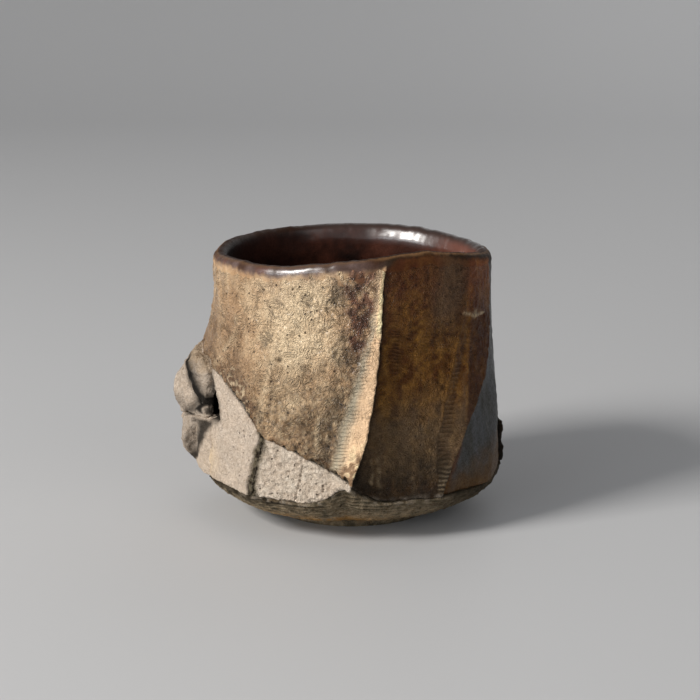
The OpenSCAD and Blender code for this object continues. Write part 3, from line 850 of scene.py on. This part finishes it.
def back_relief(s):
    """Uneven glazed clay with a torn lower edge."""
    tuck_under_lip(s)
    height = 0.8 * ash_skin(s, 101) + 0.2 * s.noise(6, 111) + 0.1 * s.streaks(2.2, 112)
    flap = bell((s.turn - seam(BACK_SEAM, s.z)) * ARC, 2.4)
    height -= flap * (0.85 * smooth(15, 19, s.z) + 0.5 * s.noise(2.2, 114) - 0.15)
    return (height + crumbled(s, 1.2, 0.13, 113)) * s.skin


def back_right_paint(s):
    """Amber glaze that turns to ash gold round the back."""
    c, z, turn = glaze_colours(), s.z, s.turn
    cloud = s.cloudy(7, 121)
    fine = s.noise(1.1, 124)
    s.tint = mix(c.amber * 1.3, c.amber_gold, 0.3 + 0.5 * cloud + 0.3 * fine)
    s.dab(mix(c.ash_brown, c.ash_gold, 0.5 + 0.6 * fine), 0.85 * smooth(125, 170, turn + 16 * cloud))
    s.dab(c.char * 1.5, 0.9 * smooth(17, 9, z + 3.5 * cloud))
    # Dark along its torn edge by the right slab: scorched clay, deepened as painted shade
    s.dab(c.char, 0.9 * smooth(3.4, 0.6, (turn - seam(BACK_SEAM, z)) * ARC + 0.6 * fine))
    # Painted shade where the relief sinks
    s.shade(0.5 * smooth(-0.12, -0.34, s.height))
    s.dab(c.char, 1 - s.skin)
    return looks_of(s, np.clip(0.5 + 0.25 * cloud, 0, 1), grit=0.8, pitted=0.7)


def back_left_paint(s):
    """Golden ash glaze over the back left, bare low down beside the folds."""
    c, z, turn = glaze_colours(), s.z, s.turn
    cloud = s.cloudy(7, 131)
    fine = s.noise(1.1, 134)
    s.tint = mix(c.ash_brown, c.ash_gold, 0.55 + 0.6 * cloud + 0.3 * fine)
    s.dab(c.ash_cream * 0.9, np.clip(0.5 * smooth(0.1, 0.6, s.noise(4, 135)) + 0.3 * cloud, 0, 0.7))
    s.dab(c.ash_umber, 0.75 * smooth(0.1, 0.6, s.cloudy(5, 136)))
    s.dab(c.iron_flush, 0.6 * smooth(44, 53, z + 5 * cloud))
    bare = smooth(0.5, -0.5, z - 27 - 0.14 * (turn - 260) + 1.6 * s.noise(2.5, 137))
    bare = bare * smooth(220, 246, turn + 6 * fine)
    s.dab(c.bare * 0.95, bare)
    s.dab(c.ash_umber * 0.8, 0.8 * smooth(16, 9, z + 2.5 * cloud) * (1 - bare))
    # Painted shade where the relief sinks
    s.shade(0.5 * smooth(-0.12, -0.34, s.height))
    s.dab(c.ash_umber, 1 - s.skin)
    shine = np.clip(0.45 + 0.2 * cloud, 0, 1) * (1 - bare)
    return looks_of(s, shine, grit=0.9 - 0.4 * bare, pitted=0.7)


# Relief and paint of the aprons, and the hollows that they share with the folds

HOLLOW_EDGE = ((-63.5, 20.3), (-61.4, 21.4), (-61.4, 23.5), (-62.2, 25.4), (-64.5, 27.4), (-67.4, 30.2))
VALLEY = ((-90, 9), (-85.4, 11.4), (-78.2, 15.8), (-72.4, 19.1), (-70.0, 20.5))
# Heights and how far the valley reaches there to each side, in millimetres
VALLEY_LEFT = ((12, 15, 17.8, 19.5), (1.2, 2.6, 4.4, 6.5))
VALLEY_RIGHT = ((11, 13.5, 17, 19.8), (2.0, 3.2, 3.2, 2.6))
GROOVE_LOW = ((-81, 20.5), (-79, 21.5), (-76.8, 22.9), (-78.2, 23.9))
GROOVE_LEFT = (*GROOVE_LOW, (-81.1, 26.1), (-85.1, 28.8), (-89, 29.9), (-93, 32))
GROOVE_FULL = ((-68.5, 23), (-69.5, 24.5), (-71.5, 25.5), (-75.0, 27), (-80.5, 31))
GROOVE_CLEAR = ((-67.5, 23), (-67.8, 24.5), (-67.0, 25.5), (-65.5, 27), (-71.5, 31))
SCORED = ((-71, 16.5), (-78, 13.5))
CRACK = ((-19.2, 15.8), (-20.4, 12.4), (-20.9, 11.2), (-22.2, 9.0))
WARM = (1.0, -74, 12.5, 8, 3.5)


def hollow_beside_tongue(s, spread=0.0):
    """The dark hollow between the tongue of clay and the left apron, 0 outside and 1 inside."""
    inside = smooth(spread, -1.1, s.right_of(HOLLOW_EDGE)) * smooth(-84, -78, s.a)
    return inside * smooth(20.6 - spread, 21.4, s.z) * smooth(31.5 + spread, 29.5, s.z)


def fold_valley(s):
    """The valley that runs down to the left beside the lower fold, 0 outside and 1 inside."""
    off = s.right_of(VALLEY)
    reach = np.where(off < 0, -np.interp(s.z, *VALLEY_LEFT), np.interp(s.z, *VALLEY_RIGHT))
    return smooth(1, 0.15, off / reach) * smooth(20.7, 19.6, s.z) * smooth(8.7, 9.6, s.z)


def fold_groove(s):
    """The deep groove between the outer fold and the tongue, 0 outside and 1 inside."""
    full, clear = line_at(GROOVE_FULL, s.z), line_at(GROOVE_CLEAR, s.z)
    inside = smooth(-0.3, 0.5, s.right_of(GROOVE_LEFT)) * (1 - smooth(0, 1, (s.a - full) / (clear - full)))
    tip = smooth(-66.6, -65.4, s.a) * smooth(26.0, 24.8, s.z)
    return np.maximum(inside, tip) * smooth(32.4, 30.6, s.z)


def torn_clay_and_shadow(s):
    """Grey-brown broken clay between the aprons, with darker flakes, dark also as painted shade on the torn
    scarp and painted shadow below it.
    """
    c = glaze_colours()
    return mix(c.turned * 0.5, c.char * 1.5, np.clip(0.45 + 1.6 * s.noise(0.7, 154), 0, 1))


def left_apron_relief(s):
    """Smooth bare clay with a torn right edge and the hollow beside the tongue."""
    beside = -s.right_of(TORN_SEAM)
    height = s.lumps(141, (0.2, 4.0), (0.09, 1.1), (0.12, 0.5)) + 0.12 * bell(beside - 2.2, 1.4)
    torn = smooth(0.9, 0.1, beside + 0.5 * s.noise(1.8, 144))
    height -= torn * (0.6 + 0.4 * s.noise(0.9, 146))
    height -= 0.3 * pits(s.p, 1.7, 0.1, 147) * smooth(-58, -46, s.a) + 0.12 * s.line(SCORED, 0.25)
    return (height - 3.2 * hollow_beside_tongue(s)) * s.skin


def left_apron_paint(s):
    """Bare clay, warmer low down on the left, with painted shade on its torn edge, in the hollow beside the
    tongue and in the fold's valley.
    """
    c = glaze_colours()
    s.tint = mix(c.bare, c.bare * (0.83, 0.85, 0.88), 0.4 + 0.6 * s.cloudy(5, 151))
    s.dab(c.bare * (1.12, 1.02, 0.78), 0.7 * s.patches(WARM))
    s.dab(c.bare_grey * 0.5, 1 - s.skin)
    # Painted shade on the torn scarp at its right edge, over broken clay
    s.dab(torn_clay_and_shadow(s), smooth(1.0, 0.1, 0.5 * s.noise(1.8, 144) - s.right_of(TORN_SEAM)))
    # Painted shade: nearly black in the hollow beside the tongue, softer round it, and dark in the valley
    s.shade(0.97 * smooth(0.06, 0.4, hollow_beside_tongue(s)))
    s.shade(0.6 * smooth(0.0, 0.75, hollow_beside_tongue(s, 1.5)))
    s.shade(0.88 * fold_valley(s))
    return looks_of(s, shine=0.2, grit=0.7, pitted=0.5 * smooth(-64, -48, s.a))


def front_apron_relief(s):
    """Rough clay, sunk beside its torn left edge, pitted and cracked."""
    height = s.lumps(161, (0.16, 2.2), (0.2, 0.95), (0.28, 0.5)) - 0.5 * pits(s.p, 1.1, 0.4, 168)
    torn = smooth(2.4, 0.4, s.right_of(TORN_SEAM) + 0.5 * s.noise(1.8, 174))
    height -= 0.42 * s.line(CRACK, 0.2) + 0.6 * torn * (0.9 + 0.4 * s.noise(0.8, 169))
    return (height + crumbled(s, 1.0, 0.12, 170)) * s.skin


def front_apron_paint(s):
    """Rough pale clay with dark specks, painted shadow along its torn left edge and painted shade where its
    relief sinks.
    """
    c = glaze_colours()
    beside = s.right_of(TORN_SEAM)
    s.tint = mix(c.bare_grey, c.bare * 1.06, 0.35 + 0.7 * s.cloudy(3, 171))
    s.dab(c.bare_grey * 0.5, 1 - s.skin)
    # Painted shadow of the left apron's edge on the torn band, over broken clay
    s.dab(torn_clay_and_shadow(s), 0.95 * smooth(2.4, 0.6, beside + 0.5 * s.noise(1.8, 174)))
    # Painted shade where the relief sinks and in the sunk band by the torn edge
    s.shade(0.65 * smooth(-0.25, -0.6, s.height + 0.5 * smooth(2.6, 0.4, beside)))
    return looks_of(s, shine=0.15, grit=1.0, pitted=0.8)


# Relief, paint, finish, slot and mesh size of each piece of the wall
ASH, AMBER = ("ash_glaze", "glaze_ash_gold"), ("amber_glaze", "glaze_amber_brown")
SLATE, SANDY = ("slate_glaze", "glaze_slate"), ("sandy_clay", "bare_clay")
WALL = {
    "front_left_slab": (front_left_relief, front_left_paint, *ASH, "front_grain"),
    "front_right_slab": (front_right_relief, front_right_paint, *AMBER, "front_grain"),
    "right_slab": (right_relief, right_paint, *SLATE, "back_grain"),
    "back_right_slab": (back_relief, back_right_paint, *AMBER, "back_grain"),
    "back_left_slab": (back_relief, back_left_paint, *ASH, "back_grain"),
    "left_apron": (left_apron_relief, left_apron_paint, *SANDY, "front_grain"),
    "front_apron": (front_apron_relief, front_apron_paint, *SANDY, "front_grain"),
}
SLABS = [node for node in WALL if node.endswith("slab")]
APRONS = [node for node in WALL if node.endswith("apron")]


def add_wall_piece(node):
    """One slab or apron of the wall."""
    relief, paint, finish, slot, grain = WALL[node]
    piece = new_piece(node + "_clay", welded_copy(node))
    even_mesh(piece, getattr(bpy.context.scene.sake_cup_clay, grain))
    finish_piece(piece, relief, paint, finish, slot, node)


class SAKECUP_OT_slabs(bpy.types.Operator):
    """Add the five glazed slabs of the wall"""

    bl_idname = "sake_cup.slabs"
    bl_label = "Glazed slabs"

    def execute(self, context):
        for node in SLABS:
            add_wall_piece(node)
        return {"FINISHED"}


class SAKECUP_OT_aprons(bpy.types.Operator):
    """Add the two bare aprons"""

    bl_idname = "sake_cup.aprons"
    bl_label = "Bare aprons"

    def execute(self, context):
        for node in APRONS:
            add_wall_piece(node)
        return {"FINISHED"}


# The liner and its lip


def surface_tree(nodes):
    """The surface of the named CAD solids, for rays."""
    sheet = frame_sheet(nodes)
    tree = BVHTree.FromBMesh(sheet)
    sheet.free()
    return tree


def wall_radius(tree, azimuth, height):
    """Radius of the wall in millimetres, seen from outside."""
    turn = math.radians(azimuth)
    out = Vector((math.sin(turn), -math.cos(turn), 0))
    outside = out * 0.06 + Vector((0, 0, height * MM))
    hit = tree.ray_cast(outside, -out)[0]
    return 0.0 if hit is None else math.hypot(hit.x, hit.y) / MM


def lip_smear(sheet):
    """Adds a feathered band of clay that runs from the lip down over the slabs' upper edges."""
    tree = surface_tree(["liner_cup"] + SLABS)
    columns, rows = 180, 8
    start, proud, feather, thick = 1.5, 0.04, 0.8, 1.6
    drop = bpy.context.scene.sake_cup_clay.lip_smear / MM
    rings = []
    for column in range(columns):
        azimuth = 360 * column / columns - 180
        top = float(np.interp(azimuth, LIP_A, LIP_Z, period=360))
        outline = []
        for row in range(rows + 1):
            v = row / rows
            height = top - start - drop * v
            radius = max(wall_radius(tree, azimuth + step, height) for step in (-1.2, 0, 1.2))
            outline.append((radius + proud - feather * v**1.2, height))
        inside = outline[0][0] - thick
        outline += [(inside, outline[-1][1]), (inside, outline[0][1])]
        turn = math.radians(azimuth)
        places = [Vector((r * math.sin(turn), -r * math.cos(turn), z)) * MM for r, z in outline]
        rings.append([sheet.verts.new(place) for place in places])
    for column in range(columns):
        near, far = rings[column], rings[(column + 1) % columns]
        for k in range(len(near)):
            after = (k + 1) % len(near)
            sheet.faces.new((near[k], near[after], far[after], far[k]))


def tints_below(s):
    """The colours of the slabs that stand below the lip, a little darker."""
    a, turn = s.a, s.turn
    ridge, right, back, last = (seam(line, s.z) for line in (RIDGE, RIGHT_SEAM, BACK_SEAM, LAST_SEAM))
    places = (
        (front_left_paint, (turn >= 260) | (a < ridge) & (a > -100)),
        (front_right_paint, (a >= ridge) & (a < right)),
        (right_paint, (a >= right) & (turn < back)),
        (back_right_paint, (turn >= back) & (turn < last)),
        (back_left_paint, (turn >= last) & (turn < 260)),
    )
    tints = np.zeros((len(a), 3))
    for paint, here in places:
        band = here & (s.below < 7) & (s.skin > 0.3)
        tints[band] = paint(s.part(band))["tint"] * (0.82, 0.78, 0.76)
    return tints


class SAKECUP_OT_liner(bpy.types.Operator):
    """Add the turned liner, with its lip smeared over the slabs"""

    bl_idname = "sake_cup.liner"
    bl_label = "Liner and lip"

    def execute(self, context):
        piece = new_piece("liner_cup_clay", welded_copy("liner_cup"))
        rounding = piece.modifiers.new("Rounding", "SUBSURF")
        rounding.levels = rounding.render_levels = 2
        bake(piece)
        sheet = bmesh.new()
        sheet.from_mesh(piece.data)
        lip_smear(sheet)
        bmesh.ops.recalc_face_normals(sheet, faces=sheet.faces)
        sheet.to_mesh(piece.data)
        sheet.free()
        even_mesh(piece, context.scene.sake_cup_clay.liner_grain, 3, 0)
        finish_piece(piece, self.relief, self.paint, "iron_glaze", "glaze_iron_red", "liner_cup")
        return {"FINISHED"}

    @staticmethod
    def relief(s):
        """Throwing rings inside, a fuller far wall, and a lip as uneven as the glaze below it."""
        pitch, below = 6.5, s.below
        rings = 0.07 * np.sin(s.z * 2 * math.pi / pitch + 1.5 * s.noise(14, 181))
        height = rings * smooth(0.6, 0.3, s.skin) * smooth(13, 17, s.z) * smooth(3, 8, below)
        far = smooth(95, 135, s.turn) * smooth(205, 175, s.turn) * smooth(0.7, 0.3, s.skin)
        height += 0.95 * far * np.clip((below - 0.1) / 2.7, 0, 1) * smooth(14, 5, below)
        lip = smooth(7, 5, below) * (0.35 + 0.65 * smooth(0.6, 2.0, below))
        lip = lip * (0.2 + 0.8 * smooth(0.1, 0.5, s.skin))
        return height + lip * s.lumps(182, (0.13, 3.4), (0.05, 1.4), (0.04, 0.85))

    @staticmethod
    def paint(s):
        """Deep red inside, nearly black as painted shade and lighter high on the far wall as painted light;
        brown on the lip, running into the colours of the slabs.
        """
        c, a, turn, below = glaze_colours(), s.a, s.turn, s.below
        cloud = s.cloudy(6, 191)
        fine = s.noise(1.1, 194)
        # Painted shade: the glaze inside made nearly black, as the cup shades it
        inner = mix(c.inner_red * 0.02, c.inner_red * 0.3, 0.4 + 0.6 * cloud)
        # Painted light: redder and lighter high on the far wall, and most at its upper right
        warm = smooth(26, 48, s.z) * smooth(60, 130, np.where(a > 0, a, -a - 25))
        inner = mix(inner, c.iron_flush * 0.5, warm * np.clip(0.5 + 0.6 * cloud, 0, 1))
        painted_glow = smooth(60, 95, turn) * smooth(150, 110, turn) * smooth(9, 2, below)
        inner = mix(inner, c.iron_flush * 1.2, painted_glow)

        # Glassy brown on the lip, mauve in front as glaze with a painted sheen, and nearly black at the
        # right
        mauve_sheen_share = np.clip(0.45 + 0.7 * s.noise(1.6, 195) + 0.3 * fine, 0, 1)
        glassy = mix(c.lip_brown, c.lip_mauve_sheen, smooth(-110, -60, a) * smooth(16, 6, a) * mauve_sheen_share)
        glassy = mix(glassy, c.iron_flush * 0.8, 0.6 * smooth(0.1, 0.6, s.noise(2.4, 196)))
        glassy = mix(glassy, c.char * 1.6, 0.75 * smooth(8, 16, a) * smooth(100, 70, a))
        edge = below + s.lumps(197, (0.45, 5.0), (0.3, 0.6)) + 0.8 * smooth(10, 20, a)
        edge += 0.7 * smooth(45, 65, np.abs(a + 5) * (a < 0))
        outer = mix(glassy, tints_below(s), smooth(1.2, 2.3, edge))
        thin = c.toast * (0.55 + 0.5 * smooth(8, 16, a) * smooth(90, 60, a))[:, None]
        outer = mix(outer, thin, 0.7 * smooth(0.7, 0.2, below + 0.15 * fine))
        outside = smooth(0.45, 0.75, s.skin)
        s.tint = mix(inner, outer, outside * smooth(7, 5.5, below))
        s.dab(c.lip_brown * 0.6, smooth(1.6, 0.2, below) * (1 - outside))

        # Shine on the front of the lip and on the far wall
        lip = smooth(6.0, 4.0, below) * smooth(2.9, 1.4, edge * smooth(0.3, 0.7, s.skin))
        glossy = (bell(a + 19, 19) + 0.4 * bell(a + 58, 16)) * smooth(0.2, 0.6, s.skin)
        far = smooth(80, 110, turn) * smooth(215, 190, turn) * smooth(0.6, 0.3, s.skin)
        glossy = np.maximum(0.12 * smooth(14, 2, a) + glossy, far * smooth(4.4, 2.6, below))
        return looks_of(s, np.clip(lip * glossy, 0, 1), grit=0.4, pitted=0.3 * (1 - lip))


class SAKECUP_OT_base(bpy.types.Operator):
    """Add the turned base with its foot ring"""

    bl_idname = "sake_cup.base"
    bl_label = "Turned base"

    def execute(self, context):
        piece = new_piece("turned_base_clay", welded_copy("turned_base"))
        even_mesh(piece, context.scene.sake_cup_clay.back_grain)
        finish_piece(piece, self.relief, self.paint, "thrown_clay", "turned_clay", "turned_base")
        return {"FINISHED"}

    @staticmethod
    def rings(s):
        """Turning rings, which waver and break."""
        pitch = bpy.context.scene.sake_cup_clay.ring_pitch / MM
        along = s.r + 0.35 * s.z + s.lumps(201, (0.3, 8), (0.1, 3))
        return np.sin(along * 2 * math.pi / pitch) * np.clip(0.7 + 0.7 * s.noise(4, 203), 0, 1.2)

    @staticmethod
    def relief(s):
        """Torn turning rings on the undercut; the foot stays flat."""
        outside = smooth(16.0, 17.2, s.r) * smooth(-0.2, 0.3, -s.normal[:, 2] + s.skin)
        height = 0.11 * SAKECUP_OT_base.rings(s) + s.lumps(204, (0.12, 1.3), (0.12, 0.75))
        height -= 0.04 * creases(s.p, 1.1, 206) + 0.25 * pits(s.p, 1.7, 0.12, 207)
        foot = smooth(0.25, 0.6, s.z)
        return height * outside * foot - JOINT_FILL * (1 - foot)

    @staticmethod
    def paint(s):
        """Scorched brown clay, gold where glaze ran down with painted glints on it, painted shade under the
        wall's lower edge at the front left, darker round the right, and pale along its upper edge.
        """
        c, a, z = glaze_colours(), s.a, s.z
        wave = SAKECUP_OT_base.rings(s)
        cloud = s.cloudy(5, 211)
        fine = s.noise(0.9, 214)
        light = c.turned * (1.8, 1.72, 1.7)
        s.tint = mix(c.turned * 0.4, light, 0.36 + 0.3 * wave + 0.25 * cloud + 0.4 * fine)
        s.shade(0.4 * smooth(4.5, 7.5, z) - 0.12)
        # Golden glaze low at the front, lit with painted glints
        gold_and_glints = s.patches((1.0, -12, 3.2, 30, 1.8)) * smooth(-0.2, 0.5, wave + cloud + fine)
        s.dab(c.amber_gold * 1.3, np.clip(gold_and_glints, 0, 0.85))
        rim = 8.5 + 4.0 * np.clip(1 - np.abs(a + 2.5) / 11.5, 0, 1) - z
        # Painted shade just under the wall's overhanging lower edge
        s.dab(c.char, 0.75 * smooth(2.2, 0.5, rim + 0.8 * fine) * smooth(-15, -30, a))
        pale = smooth(1.2, 0.2, rim) * smooth(-60, -40, a) * smooth(60, 20, a)
        s.dab(c.bare_grey * 0.5, pale * np.clip(0.1 + 0.9 * fine, 0, 0.6))
        flecks = smooth(0.25, 0.6, s.noise(0.5, 215)) * smooth(-50, -30, a) * smooth(50, 25, a)
        s.dab(c.ash_umber * 1.3, 0.7 * flecks)
        # Darker round the right side
        s.dab(c.char, 0.6 * smooth(20, 60, s.turn) * smooth(170, 120, s.turn))
        return looks_of(s, np.clip(0.3 + 0.5 * gold_and_glints, 0, 1), grit=1.0, pitted=0.6)


# Folds

FLAKES = (((-73.5, 23.3), (-74.4, 22.2), (-72.8, 21.0)), ((-77.0, 21.5), (-74.5, 21.0), (-72.0, 20.9)))
CREASE = ((-77.2, 23.3), (-81.0, 20.9), (-86.0, 19.9))
RIM = ((-92, 18.2), (-80, 19.9), (-70.5, 20.6))
RIM_HIGHLIGHT = ((-88, 18.8), (-80, 19.9), (-71, 20.6))


def set_into_wall(sheet, tree):
    """Sinks the side of a fold that lies on the wall into it, and feathers its right edge."""
    near, sunk, thinned = 0.5, 1.2, 1.1
    for vert in sheet.verts:
        x, y, z = vert.co / MM
        r = math.hypot(x, y)
        azimuth = math.degrees(math.atan2(x, -y))
        on_wall = r - wall_radius(tree, azimuth, z) < near
        feather = float(smooth(-75.0, -70.5, np.float64(azimuth))) * (z < 21.5)
        drop = sunk * on_wall + thinned * feather
        vert.co.x *= 1 - drop / r
        vert.co.y *= 1 - drop / r


def wall_under(tree, a, z):
    """Radius of the wall under points of a fold, between rays on an even grid."""
    step = 1.5
    places, heights = np.arange(-117.0, -60.0, step), np.arange(7.0, 36.0)
    grid = np.array([[wall_radius(tree, place, height) for height in heights] for place in places])
    u = np.clip((a - places[0]) / step, 0, len(places) - 1.001)
    v = np.clip(z - heights[0], 0, len(heights) - 1.001)
    i, j = u.astype(int), v.astype(int)
    u, v = u - i, v - j
    near = grid[i, j] * (1 - v) + grid[i, j + 1] * v
    far = grid[i + 1, j] * (1 - v) + grid[i + 1, j + 1] * v
    return near * (1 - u) + far * u


def press_fold(s, node, tree):
    """Presses a fold down towards the wall along its groove or valley."""
    above = np.maximum(s.r - wall_under(tree, s.a, s.z), 0)
    if node == "fold_lower":
        pressed = 0.08 * bell(s.right_of(VALLEY), 1.1) * smooth(20.0, 18.9, s.z)
    else:
        pressed = 0.05 * fold_groove(s)
        for flake in FLAKES:
            pressed = pressed * (1 - 0.8 * s.line(flake, 0.4))
    s.moved[:, :2] *= (1 - above * pressed / s.r)[:, None]


def fold_relief(s):
    """Soft lumps, broken facets and fine grain."""
    height = s.lumps(221, (0.3, 3.4), (0.2, 1.7), (0.1, 0.9), (0.1, 0.5))
    return height + 0.35 * s.line(RIM, 0.45) - 0.45 * s.line(CREASE, 0.7) - 0.2 * creases(s.p, 2.4, 225)


def fold_paint(s):
    """Bare clay with painted shade, greyer in the shelter of the folds and nearly black in their depths,
    and a painted highlight on the lower fold's rim.
    """
    c, a, z = glaze_colours(), s.a, s.z
    s.tint = mix(c.bare * 0.95, c.bare * (0.66, 0.68, 0.71), 0.4 + 0.7 * s.cloudy(4, 231))
    # Painted shade low on the lower fold
    s.shade(0.12 * smooth(19.5, 17.5, z))
    # Painted highlight along the lower fold's lit rim
    s.dab(c.bare, 0.7 * s.line(RIM_HIGHLIGHT, 0.5))
    # Painted shade in the crease, on the tongue and under the outer fold
    s.shade(0.65 * s.line(CREASE, 0.8))
    s.shade(0.14 * smooth(-82, -76, a) * smooth(23, 25, z))
    s.shade(s.patches((0.35, -87, 22, 8, 1.4)))
    s.dab(c.ash_gold * (0.62, 0.7, 0.78), 0.65 * smooth(29.8, 32.8, z + 2.5 * s.noise(1.6, 226)))
    s.dab(c.bare * 0.93, smooth(0.0, 1.6, s.right_of(VALLEY)) * smooth(20.6, 19.6, z))
    # Painted shade: nearly black in the groove and the valley, with the flakes left light
    depth = 0.96 * fold_groove(s) * smooth(20.6, 21.6, z)
    for flake in FLAKES:
        depth = depth * (1 - 0.75 * s.line(flake, 0.26))
    s.shade(np.maximum(depth, 0.88 * fold_valley(s)))
    return looks_of(s, shine=0.15, grit=0.7, pitted=0.25)


class SAKECUP_OT_folds(bpy.types.Operator):
    """Add the folded clay at the left"""

    bl_idname = "sake_cup.folds"
    bl_label = "Folded clay"

    def execute(self, context):
        tree = surface_tree(list(WALL) + ["turned_base"])
        for node in ("fold_outer", "fold_lower", "fold_tongue"):
            sheet = welded_copy(node, 50)
            set_into_wall(sheet, tree)
            piece = new_piece(node + "_clay", sheet)
            even_mesh(piece, context.scene.sake_cup_clay.fold_grain)

            def relief(s, node=node):
                press_fold(s, node, tree)
                return fold_relief(s)

            finish_piece(piece, relief, fold_paint, "sandy_clay", "bare_clay", node)
        return {"FINISHED"}


# The stage

# Width, height, watts, place and tint of each lamp
LAMPS = {
    "Key": (0.3, 0.3, 9.8, (-0.72, -0.46, 0.6), (1.0, 0.975, 0.94)),
    "Window": (0.9, 0.14, 2.6, (-0.76, -0.64, 0.2), (0.93, 0.97, 1.0)),
    "Fill": (0.9, 0.9, 1.3, (0.75, -0.75, 0.45), (1.0, 1.0, 1.0)),
    "Back": (0.9, 0.9, 1.2, (0.45, 0.75, 0.5), (1.0, 1.0, 1.0)),
}


def lamp(name, width, height, watts, place, tint):
    """A softbox that faces the cup."""
    light = bpy.data.lights.new(name, "AREA")
    light.shape = "RECTANGLE"
    light.size = width
    light.size_y = height
    light.energy = watts
    light.color = tint
    holder = bpy.data.objects.new(name, light)
    holder.location = place
    aim = Vector((0, 0, 0.03)) - Vector(place)
    holder.rotation_euler = aim.to_track_quat("-Z", "Y").to_euler()
    bpy.context.scene.collection.objects.link(holder)


class SAKECUP_OT_stage(bpy.types.Operator):
    """Add the floor, the softboxes and the camera"""

    bl_idname = "sake_cup.stage"
    bl_label = "Stage"

    def execute(self, context):
        scene = context.scene
        settings = scene.sake_cup_stage
        self.add_floor(settings)
        for name, values in LAMPS.items():
            lamp(name, *values)
        world = bpy.data.worlds.new("Studio")
        world.use_nodes = True
        sky = world.node_tree.nodes["Background"].inputs
        sky["Color"].default_value = (0.8, 0.82, 0.85, 1)
        sky["Strength"].default_value = 0.22
        scene.world = world
        self.add_camera(scene, settings)
        scene.view_settings.view_transform = "Standard"
        return {"FINISHED"}

    def add_camera(self, scene, settings):
        """The camera, which looks a little down at the cup from its front."""
        camera = bpy.data.objects.new("Camera", bpy.data.cameras.new("Camera"))
        camera.data.lens = 100
        camera.data.sensor_width = 36
        target = Vector((-0.5, 0, 32.3)) * MM
        rise = settings.camera_height
        back = Vector((0, -math.cos(rise), math.sin(rise)))
        camera.location = target + back * settings.camera_distance
        camera.rotation_euler = (math.pi / 2 - rise, 0, 0)
        camera.data.clip_start = 0.01
        scene.collection.objects.link(camera)
        scene.camera = camera

    def add_floor(self, settings):
        """A floor that curves up into a backdrop."""
        half, back, bend, height, steps = 1.6, 1.3, 0.6, 1.8, 12
        profile = [(-half, 0.0), (back - bend, 0.0)]
        profile += [
            (back - bend + bend * math.sin(t), bend - bend * math.cos(t))
            for t in (math.radians(90 * step / steps) for step in range(1, steps + 1))
        ]
        profile.append((back, height))
        points = [(x, y, z) for y, z in profile for x in (-half, half)]
        faces = [(2 * i, 2 * i + 1, 2 * i + 3, 2 * i + 2) for i in range(len(profile) - 1)]
        mesh = bpy.data.meshes.new("Floor")
        mesh.from_pydata(points, [], faces)
        mesh.polygons.foreach_set("use_smooth", [True] * len(faces))
        floor = bpy.data.objects.new("Floor", mesh)
        bpy.context.scene.collection.objects.link(floor)
        paper = bpy.data.materials.new("Paper")
        paper.use_nodes = True
        shader = paper.node_tree.nodes["Principled BSDF"]
        shader.inputs["Base Color"].default_value = (*settings.floor_tint, 1)
        shader.inputs["Roughness"].default_value = 0.6
        mesh.materials.append(paper)


class SAKECUP_PT_panel(bpy.types.Panel):
    """Sidebar panel with the cup's pieces"""

    bl_label = "Sake cup"
    bl_idname = "SAKECUP_PT_panel"
    bl_space_type = "VIEW_3D"
    bl_region_type = "UI"
    bl_category = "Sake cup"

    def draw(self, context):
        for name, kind in GROUPS.items():
            box = self.layout.box()
            for key in kind.__annotations__:
                box.prop(getattr(context.scene, name), key)
        for step in STEPS:
            self.layout.operator(step.bl_idname)


STEPS = (
    SAKECUP_OT_stage,
    SAKECUP_OT_liner,
    SAKECUP_OT_slabs,
    SAKECUP_OT_aprons,
    SAKECUP_OT_base,
    SAKECUP_OT_folds,
)
GROUPS = {
    "sake_cup_clay": SAKECUP_PG_clay,
    "sake_cup_glaze": SAKECUP_PG_glaze,
    "sake_cup_stage": SAKECUP_PG_stage,
}


def register():
    """Registers the cup's classes and its settings."""
    for kind in (*GROUPS.values(), *STEPS, SAKECUP_PT_panel):
        bpy.utils.register_class(kind)
    for name, kind in GROUPS.items():
        setattr(bpy.types.Scene, name, PointerProperty(type=kind))


def unregister():
    """Takes them out again."""
    for name in GROUPS:
        delattr(bpy.types.Scene, name)
    for kind in reversed((*GROUPS.values(), *STEPS, SAKECUP_PT_panel)):
        bpy.utils.unregister_class(kind)


def main():
    """Builds the cup and its stage."""
    register()
    for step in STEPS:
        group, name = step.bl_idname.split(".")
        getattr(getattr(bpy.ops, group), name)()


if __name__ == "__main__":
    main()
